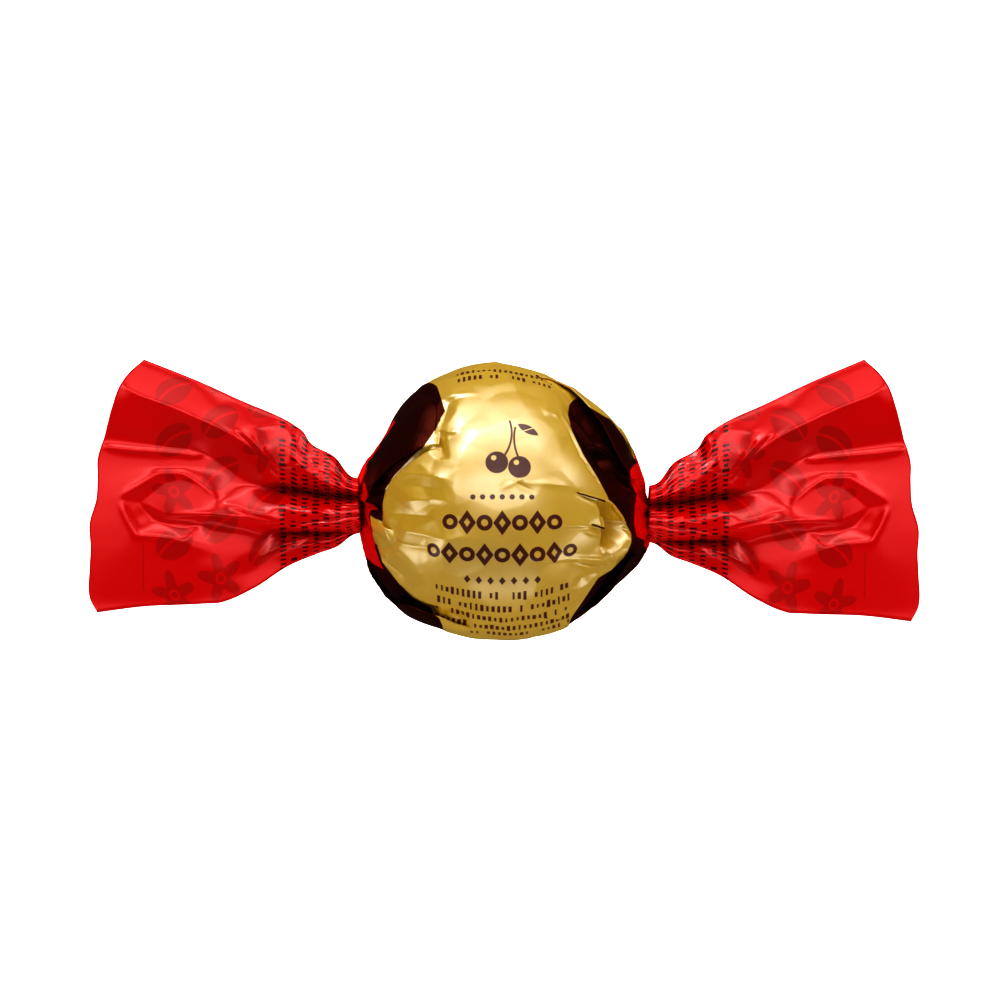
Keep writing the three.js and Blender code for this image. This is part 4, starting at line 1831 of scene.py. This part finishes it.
@dataclass(frozen=True)
class Strokes:
    """Rows of short upright strokes of uneven size with gaps here and there, for small print.

    Attributes:
        pitch: distance between the rows.
        spacing: distance from one stroke to the next in a row.
        first_row: where the middle of a row lies across the film.
        drift: how much earlier each row starts than the last, as a share of the spacing.
        half_height: half the height of the smallest stroke and what chance adds, as shares of
            the pitch.
        half_width: half the width of the thinnest and what chance adds, as shares of the spacing.
        kept: share of the strokes that are printed.
    """

    pitch: float
    spacing: float
    first_row: float
    drift: float = 0.37
    half_height: tuple[float, float] = (0.17, 0.16)
    half_width: tuple[float, float] = (0.16, 0.2)
    kept: float = 0.84

    def edge(self, shader: Shader, along: Field, across: Field) -> Field:
        """Draw the strokes without an end to the rows.

        Args:
            shader: the film's material.
            along: distance along a row.
            across: distance from row to row.

        Returns:
            Signed distance to the strokes, negative inside.
        """
        across = across - self.first_row
        row = across.number(self.pitch)
        run = along + row * self.drift * self.spacing
        number = run.number(self.spacing)
        kind = shader.chance(number, row)
        height, more_height = self.half_height
        width, more_width = self.half_width
        half_height = (shader.chance(row, number) * more_height + height) * self.pitch
        half_width = (kind * more_width + width) * self.spacing
        beside = abs(run.within(self.spacing)) - half_width
        mark = beside.most(abs(across.within(self.pitch)) - half_height)
        return mark + kind.above(self.kept) * self.spacing


def disc(along: Field, across: Field, shape: Disc) -> Field:
    """Return the signed distance to a disc, given by its middle and its radius."""
    return (along - shape[0]).length_with(across - shape[1]) - shape[2]


def lozenge(x: Field, y: Field, half: tuple[float, float]) -> Field:
    """Return a signed distance to a lozenge of a half size, near enough for a printed edge."""
    return (abs(x) / half[0] + abs(y) / half[1] - 1.0) * (half[1] / 2)


# The label's ornaments, in millimetres on the film from the label's middle, along X and up the
# label. A disc is its middle and its radius.
CHERRIES = ((-0.7, 5.2, 1.45), (2.2, 4.6, 1.45))
SHINES = ((-1.1, 5.8, 0.35), (1.8, 5.2, 0.35))
STEMS = (((-4.4, 9.2, 5.6), (2.0, 8.2, 3.0)), ((8.4, 8.6, 6.9), (0.9, 7.6, 2.6)))
STEM_HALF_WIDTH = 0.13
LEAF = ((2.6, 8.4, 2.2), (4.0, 11.3, 2.2))
LEAF_VEIN = (3.3, 9.85, 2.05, 0.16)  # a place on it, its slope and half its width
DOTS = (1.25, 0.7, 0.34, 4.3)  # pitch, height on the label, radius and half the row's length
BANDS = ((-2.6, 7.8, 0.0), (-6.9, 10.06, 2.25))  # height, half length and offset
BAND_PITCH = 4.5
LOZENGE_HALF, HOLE_HALF = (1.15, 1.6), (0.42, 0.6)
HOOP_RADIUS, HOOP_HALF_LINE = 0.74, 0.28
SMALL_ROW = (1.5, -10.6, 5.2)  # pitch, height on the label and half the row's length
SMALL_HALF = (0.42, 0.6)
STROKE_BLOCKS = (  # rows in place of text, and the middle and half size of the block they fill
    (Strokes(2.4, 0.72, -13.0), (0.0, -17.9, 9.0, 5.9)),
    (Strokes(2.3, 0.7, 20.0), (0.6, 21.15, 6.5, 2.15)),
)


def fruit(along: Field, across: Field) -> Field:
    """Draw two cherries with bare spots, their stems, and a leaf with a bare vein.

    A stem is the part of a thin ring inside a disc, and the leaf is what two discs share.

    Args:
        along: distance along X.
        across: distance up the label.

    Returns:
        Signed distance to the ink.
    """
    cherries = together(disc(along, across, shape) for shape in CHERRIES)
    shines = together(disc(along, across, shape) for shape in SHINES)
    stems = together(
        (abs(disc(along, across, ring)) - STEM_HALF_WIDTH).most(disc(along, across, cut))
        for ring, cut in STEMS
    )
    leaf = disc(along, across, LEAF[0]).most(disc(along, across, LEAF[1]))
    x, y, slope, half_width = LEAF_VEIN
    vein = abs((along - x) - (across - y) * slope) - half_width
    return together((cherries.most(-shines), stems, leaf.most(-vein)))


def ornament_rows(along: Field, across: Field) -> Field:
    """Draw the row of dots, the two bands of lozenges and hoops, and the small lozenges.

    Args:
        along: distance along X.
        across: distance up the label.

    Returns:
        Signed distance to the ink.
    """
    pitch, height, radius, half_length = DOTS
    dots = along.within(pitch).length_with(across - height) - radius
    rows = [dots.most(abs(along) - half_length)]
    for height, half_length, offset in BANDS:
        x, y = (along - offset).within(BAND_PITCH), across - height
        between = (along - offset + BAND_PITCH / 2).within(BAND_PITCH)
        hoop = abs(between.length_with(y) - HOOP_RADIUS) - HOOP_HALF_LINE
        shapes = lozenge(x, y, LOZENGE_HALF).most(-lozenge(x, y, HOLE_HALF)).least(hoop)
        rows.append(shapes.most(abs(along) - half_length))
    pitch, height, half_length = SMALL_ROW
    small = lozenge(along.within(pitch), across - height, SMALL_HALF)
    return together((*rows, small.most(abs(along) - half_length)))


def label_ink(shader: Shader) -> Field:
    """Draw the whole print of the label.

    Args:
        shader: the film's material.

    Returns:
        The ink, from 0 to 1.
    """
    along, across, front = shader.film()
    total = fruit(along, across).least(ornament_rows(along, across))
    for strokes, (x, y, half_length, half_height) in STROKE_BLOCKS:
        rows = strokes.edge(shader, along, across).most(abs(across - y) - half_height)
        total = total.least(rows.most(abs(along - x) - half_length))
    return total.inked() * front


@dataclass(frozen=True)
class Finish:
    """How a printed part of the film looks.

    Attributes:
        colour: its colour.
        metallic: how much it is like bare metal.
        roughness: how far it spreads a reflection.
    """

    colour: Colour
    metallic: float
    roughness: float


GOLD = Finish(linear(200, 160, 15), 0.14, 0.42)
LIGHT_GOLD = linear(211, 174, 36)
BROWN = Finish(linear(78, 27, 12), 0.6, 0.34)
RED = Finish(linear(226, 6, 6), 0.3, 0.3)
LABEL_INK = linear(86, 32, 12)
TAIL_RED = Finish(linear(206, 4, 5), 0.15, 0.21)
LIGHT_TAIL_RED = linear(214, 6, 8)
DARK_RED = linear(150, 20, 3)
DARK_INK = linear(40, 6, 6)


@dataclass(frozen=True)
class PrintedFilm:
    """Gold film with dark brown and red fields, and a label of plain ornaments.

    Attributes:
        blur: half the width of the fields' soft edges.
        grain: size of its grains.
        grain_roughness: how much they change its roughness.
        ink_roughness: how much duller the label's ink is.
        mottle: size of the patches of lighter gold.
        ripple: size of its soft ripples.
        relief: height of the ripples, and of the grains against them.
        ink_cover: how much of the gloss the label's ink hides.
    """

    blur: float = 0.06
    grain: float = 0.15
    grain_roughness: float = 0.16
    ink_roughness: float = 0.08
    mottle: float = 2.2
    ripple: float = 1.9
    relief: tuple[float, float] = (0.08, 0.4)
    ink_cover: float = 0.7

    def material(self) -> bpy.types.Material:
        """Make the material of the ball and of the folds on it.

        Each property is the gold's, changed by shares to the brown's, then the red's and the
        ink's. The gold has a coat, which gives it broad pale reflections.

        Returns:
            The material.
        """
        shader = Shader("printed_film")
        gold = (-shader.mark("gold_edge")).inked(self.blur)
        red = (-shader.mark("red_edge")).inked(self.blur)
        grain = shader.noise(self.grain)
        bare_gold = gold * red.rest()

        lit_gold = shader.blend(shader.noise(self.mottle), GOLD.colour, LIGHT_GOLD)
        # Brown is the dark print, and on the two small flaps beside the right corner also a strip of
        # painted shade along their free edges.
        colour = shader.blend(gold, BROWN.colour, lit_gold)
        colour = shader.blend(red, colour, RED.colour)
        ink = label_ink(shader) * bare_gold
        shader.drive("Base Color", shader.blend(ink, colour, LABEL_INK))

        metallic = gold * (GOLD.metallic - BROWN.metallic) + BROWN.metallic
        metallic = metallic + (-metallic + RED.metallic) * red
        shader.drive("Metallic", metallic * ink.rest())
        roughness = gold * (GOLD.roughness - BROWN.roughness) + BROWN.roughness
        uneven = (grain - 0.5) * self.grain_roughness
        shader.drive("Roughness", roughness + uneven + ink * self.ink_roughness)
        shader.set(Specular_IOR_Level=0.2, Coat_IOR=2.85, Coat_Roughness=0.33)
        shader.drive("Coat Weight", bare_gold * (ink * -self.ink_cover + 1.0))
        depth, grain_share = self.relief
        shader.bump(grain * grain_share + shader.noise(self.ripple), depth)
        return shader.material


# The tails' print, in millimetres out from the neck and across the tail.
MOTIF_PITCH = 6.0
PETALS, PETAL_SWELL, BLOSSOM_RADIUS = 5.0, 0.85, 2.1
EYE_RADIUS, EYE_RING = 0.4, 0.7
BEAN_COSINE, BEAN_SINE = 0.8, 0.6
BEAN_HALF_LENGTH, BEAN_HALF_WIDTH = 2.75, 1.65
GROOVE_BEND, GROOVE_PLACE, GROOVE_HALF_WIDTH = 0.08, 0.3, 0.16
MOTIF_BAND = (18.0, 9.0)  # its middle and half its width
LINE, LINE_SPAN = (28.0, 0.08), (9.5, 2.6)  # the same out from the neck and across the tail
SMALL_PRINT = Strokes(1.45, 0.6, 1.2)
SMALL_PRINT_END = 10.6


def blossom_or_bean(x: Field, y: Field, is_bean: Field) -> Field:
    """Draw a blossom or a bean.

    A blossom is a disc that swells with a cosine of the turn, with an eye in a bare ring. A bean
    is a slanting ellipse with a bent bare groove.

    Args:
        x: distance from its middle along the tail.
        y: the same across it.
        is_bean: 0 for the blossom and 1 for the bean.

    Returns:
        Signed distance to the ink.
    """
    radius = x.length_with(y)
    petals = (y.apply("ARCTAN2", x) * PETALS).apply("COSINE") * PETAL_SWELL
    blossom = (radius - petals - BLOSSOM_RADIUS).most(-radius + EYE_RING)
    blossom = blossom.least(radius - EYE_RADIUS)
    along = x * BEAN_COSINE + y * BEAN_SINE
    across = x * -BEAN_SINE + y * BEAN_COSINE
    round_it = (along / BEAN_HALF_LENGTH).length_with(across / BEAN_HALF_WIDTH)
    groove = abs(across - along * along * GROOVE_BEND + GROOVE_PLACE)
    bean = ((round_it - 1.0) * BEAN_HALF_WIDTH).most(-groove + GROOVE_HALF_WIDTH)
    return blossom + (bean - blossom) * is_bean


def tail_ink(shader: Shader, along: Field, across: Field) -> Field:
    """Draw the tails' band of staggered motifs, each a blossom or a bean by chance, and the line.

    Args:
        shader: the film's material.
        along: distance out from the neck.
        across: distance across the tail.

    Returns:
        The ink, from 0 to 1.
    """
    column = along.number(MOTIF_PITCH)
    staggered = across + column * (MOTIF_PITCH / 2)
    kind = shader.chance(column, staggered.number(MOTIF_PITCH)).above(0.5)
    motif = blossom_or_bean(along.within(MOTIF_PITCH), staggered.within(MOTIF_PITCH), kind)
    band = motif.most(abs(along - MOTIF_BAND[0]) - MOTIF_BAND[1])
    line = (abs(along - LINE[0]) - LINE[1]).most(abs(across - LINE_SPAN[0]) - LINE_SPAN[1])
    return band.least(line).inked(0.06)


@dataclass(frozen=True)
class RedFilm:
    """Glossy red film with a print in darker red and rows of small dark strokes.

    Attributes:
        tone: size of the patches of lighter red.
        grain: size of its grains.
        grain_roughness: how much they change its roughness.
        grain_depth: how high they stand.
        motif_strength: how strongly the motifs are printed.
        stroke_strength: how strongly the small strokes are.
    """

    tone: float = 6.0
    grain: float = 0.12
    grain_roughness: float = 0.08
    grain_depth: float = 0.006
    motif_strength: float = 0.48
    stroke_strength: float = 0.85

    def material(self) -> bpy.types.Material:
        """Make the material of the tails.

        Returns:
            The material.
        """
        shader = Shader("red_film")
        along, across, _ = shader.film()
        motifs = tail_ink(shader, along, across) * self.motif_strength
        strokes = SMALL_PRINT.edge(shader, across, along).most(along - SMALL_PRINT_END)
        strokes = strokes.inked(0.04) * self.stroke_strength
        colour = shader.blend(shader.noise(self.tone), TAIL_RED.colour, LIGHT_TAIL_RED)
        colour = shader.blend(motifs, colour, DARK_RED)
        shader.drive("Base Color", shader.blend(strokes, colour, DARK_INK))
        grain = shader.noise(self.grain)
        shader.drive("Roughness", (grain - 0.5) * self.grain_roughness + TAIL_RED.roughness)
        shader.set(Metallic=TAIL_RED.metallic, Specular_IOR_Level=0.7)
        shader.bump(grain, self.grain_depth)
        return shader.material


# --- the studio ---------------------------------------------------------------------------------


@dataclass(frozen=True)
class Softbox:
    """A rectangular light that faces the ball.

    Attributes:
        name: the light's name.
        place: its middle, in millimetres.
        size: its width and height, in millimetres.
        brightness: its face's brightness against that of white paper in the photograph.
        glossy: whether the film reflects it as a patch of light.
    """

    name: str
    place: tuple[float, float, float]
    size: tuple[float, float]
    brightness: float
    glossy: bool = True


SOFTBOXES = (
    Softbox("ceiling_softbox", (0, 850, 560), (1500, 800), 1.05),
    Softbox("bright_strip", (0, 780, 520), (900, 110), 2.6),
    Softbox("crest_strip", (0, 300, 950), (1000, 70), 3.4),
    Softbox("horizon_strip", (0, 1000, 60), (900, 90), 3.0),
    Softbox("overhead_softbox", (0, 150, 950), (900, 600), 0.85),
    Softbox("left_glint", (-490, 785, 485), (150, 150), 14.0),
    Softbox("right_glint", (760, 420, 470), (300, 300), 2.2),
    Softbox("lower_fill", (0, -950, 340), (700, 300), 0.7),
    Softbox("wide_fill", (0, -700, 600), (1400, 500), 1.45, glossy=False),
    Softbox("right_fill", (850, -480, 330), (400, 320), 1.7),
    Softbox("left_fill", (-850, -450, 330), (400, 320), 1.9),
)


@dataclass
class Studio:
    """A pale floor, soft lights and the camera that looks straight down on the label.

    Attributes:
        frame_width: width of the photograph's frame at the height of the tails.
        distance: height of the camera above the tails.
        subject_height: height of the tails above the floor.
        aim: where the middle of the frame lies in the plan.
        sensor_width: width of the camera's sensor.
        clip: nearest and furthest that the camera sees, in metres.
        floor_half: half the floor's side, in metres.
        floor_glow: how much light the floor adds, which keeps it white in the ball's shade.
        surroundings: strength of the light from all round.
    """

    frame_width: float = 130.0
    distance: float = 600.0
    subject_height: float = 17.3
    aim: tuple[float, float] = (-0.39, 0.0)
    sensor_width: float = 36.0
    clip: tuple[float, float] = (0.01, 10.0)
    floor_half: float = 1.5
    floor_glow: float = 0.8
    surroundings: float = 0.05

    def add_camera(self) -> None:
        """Set up the camera, with a lens that makes the frame's width fill its sensor."""
        data = bpy.data.cameras.new("camera")
        data.sensor_width = self.sensor_width
        data.lens = data.sensor_width * self.distance / self.frame_width
        data.clip_start, data.clip_end = self.clip
        camera = bpy.data.objects.new("camera", data)
        height = self.distance + self.subject_height
        camera.location = (self.aim[0] * MM, self.aim[1] * MM, height * MM)
        bpy.context.scene.collection.objects.link(camera)
        bpy.context.scene.camera = camera

    def add_softbox(self, box: Softbox) -> None:
        """Add a light that faces the ball.

        The power that gives its face the wanted brightness is pi times that times the area.

        Args:
            box: where it stands, how large it is and how bright.
        """
        data = bpy.data.lights.new(box.name, "AREA")
        data.shape = "RECTANGLE"
        data.size, data.size_y = box.size[0] * MM, box.size[1] * MM
        data.energy = math.pi * box.brightness * data.size * data.size_y
        light = bpy.data.objects.new(box.name, data)
        light.location = Vector(box.place) * MM
        light.visible_glossy = box.glossy
        aim = Vector((0.0, 0.0, self.subject_height * MM))
        light.rotation_euler = (light.location - aim).to_track_quat("Z", "Y").to_euler()
        bpy.context.scene.collection.objects.link(light)

    def add_floor(self) -> None:
        """Add the pale floor under the ball, which the glossy film doesn't reflect."""
        mesh = bpy.data.meshes.new("floor")
        half = self.floor_half
        corners = [(-half, -half, 0), (half, -half, 0), (half, half, 0), (-half, half, 0)]
        mesh.from_pydata(corners, [], [(0, 1, 2, 3)])
        floor = bpy.data.objects.new("floor", mesh)
        material = bpy.data.materials.new("pale_floor")
        material.use_nodes = True
        shader = material.node_tree.nodes["Principled BSDF"]
        shader.inputs["Base Color"].default_value = PALE_GREY
        shader.inputs["Roughness"].default_value = 0.9
        shader.inputs["Emission Color"].default_value = WHITE
        shader.inputs["Emission Strength"].default_value = self.floor_glow
        mesh.materials.append(material)
        bpy.context.scene.collection.objects.link(floor)
        floor.visible_glossy = False

    def add_surroundings(self) -> None:
        """Light the scene weakly from all round."""
        world = bpy.data.worlds.new("surroundings")
        bpy.context.scene.world = world
        world.use_nodes = True
        background = world.node_tree.nodes["Background"]
        background.inputs["Color"].default_value = WHITE
        background.inputs["Strength"].default_value = self.surroundings

    def build(self) -> None:
        """Build the whole studio."""
        bpy.context.scene.view_settings.view_transform = "Standard"
        bpy.context.scene.view_settings.look = "Very High Contrast"
        self.add_camera()
        self.add_surroundings()
        for box in SOFTBOXES:
            self.add_softbox(box)
        self.add_floor()


def main() -> None:
    """Build the studio and the wrapper."""
    logging.basicConfig(level=logging.INFO, format="%(name)s: %(message)s")
    Studio().build()
    film = PrintedFilm().material()
    ball = FilmBall()
    ball.build(film)
    for fold in FOLDS:
        FilmFold(ball, fold).build(film)
    red = RedFilm().material()
    PleatedTail("left_tail", -1.0).build(red)
    PleatedTail("right_tail", 1.0, shift=(0.3, -1.24), stretch=1.038, lean=0.0117).build(red)


if __name__ == "__main__":
    main()
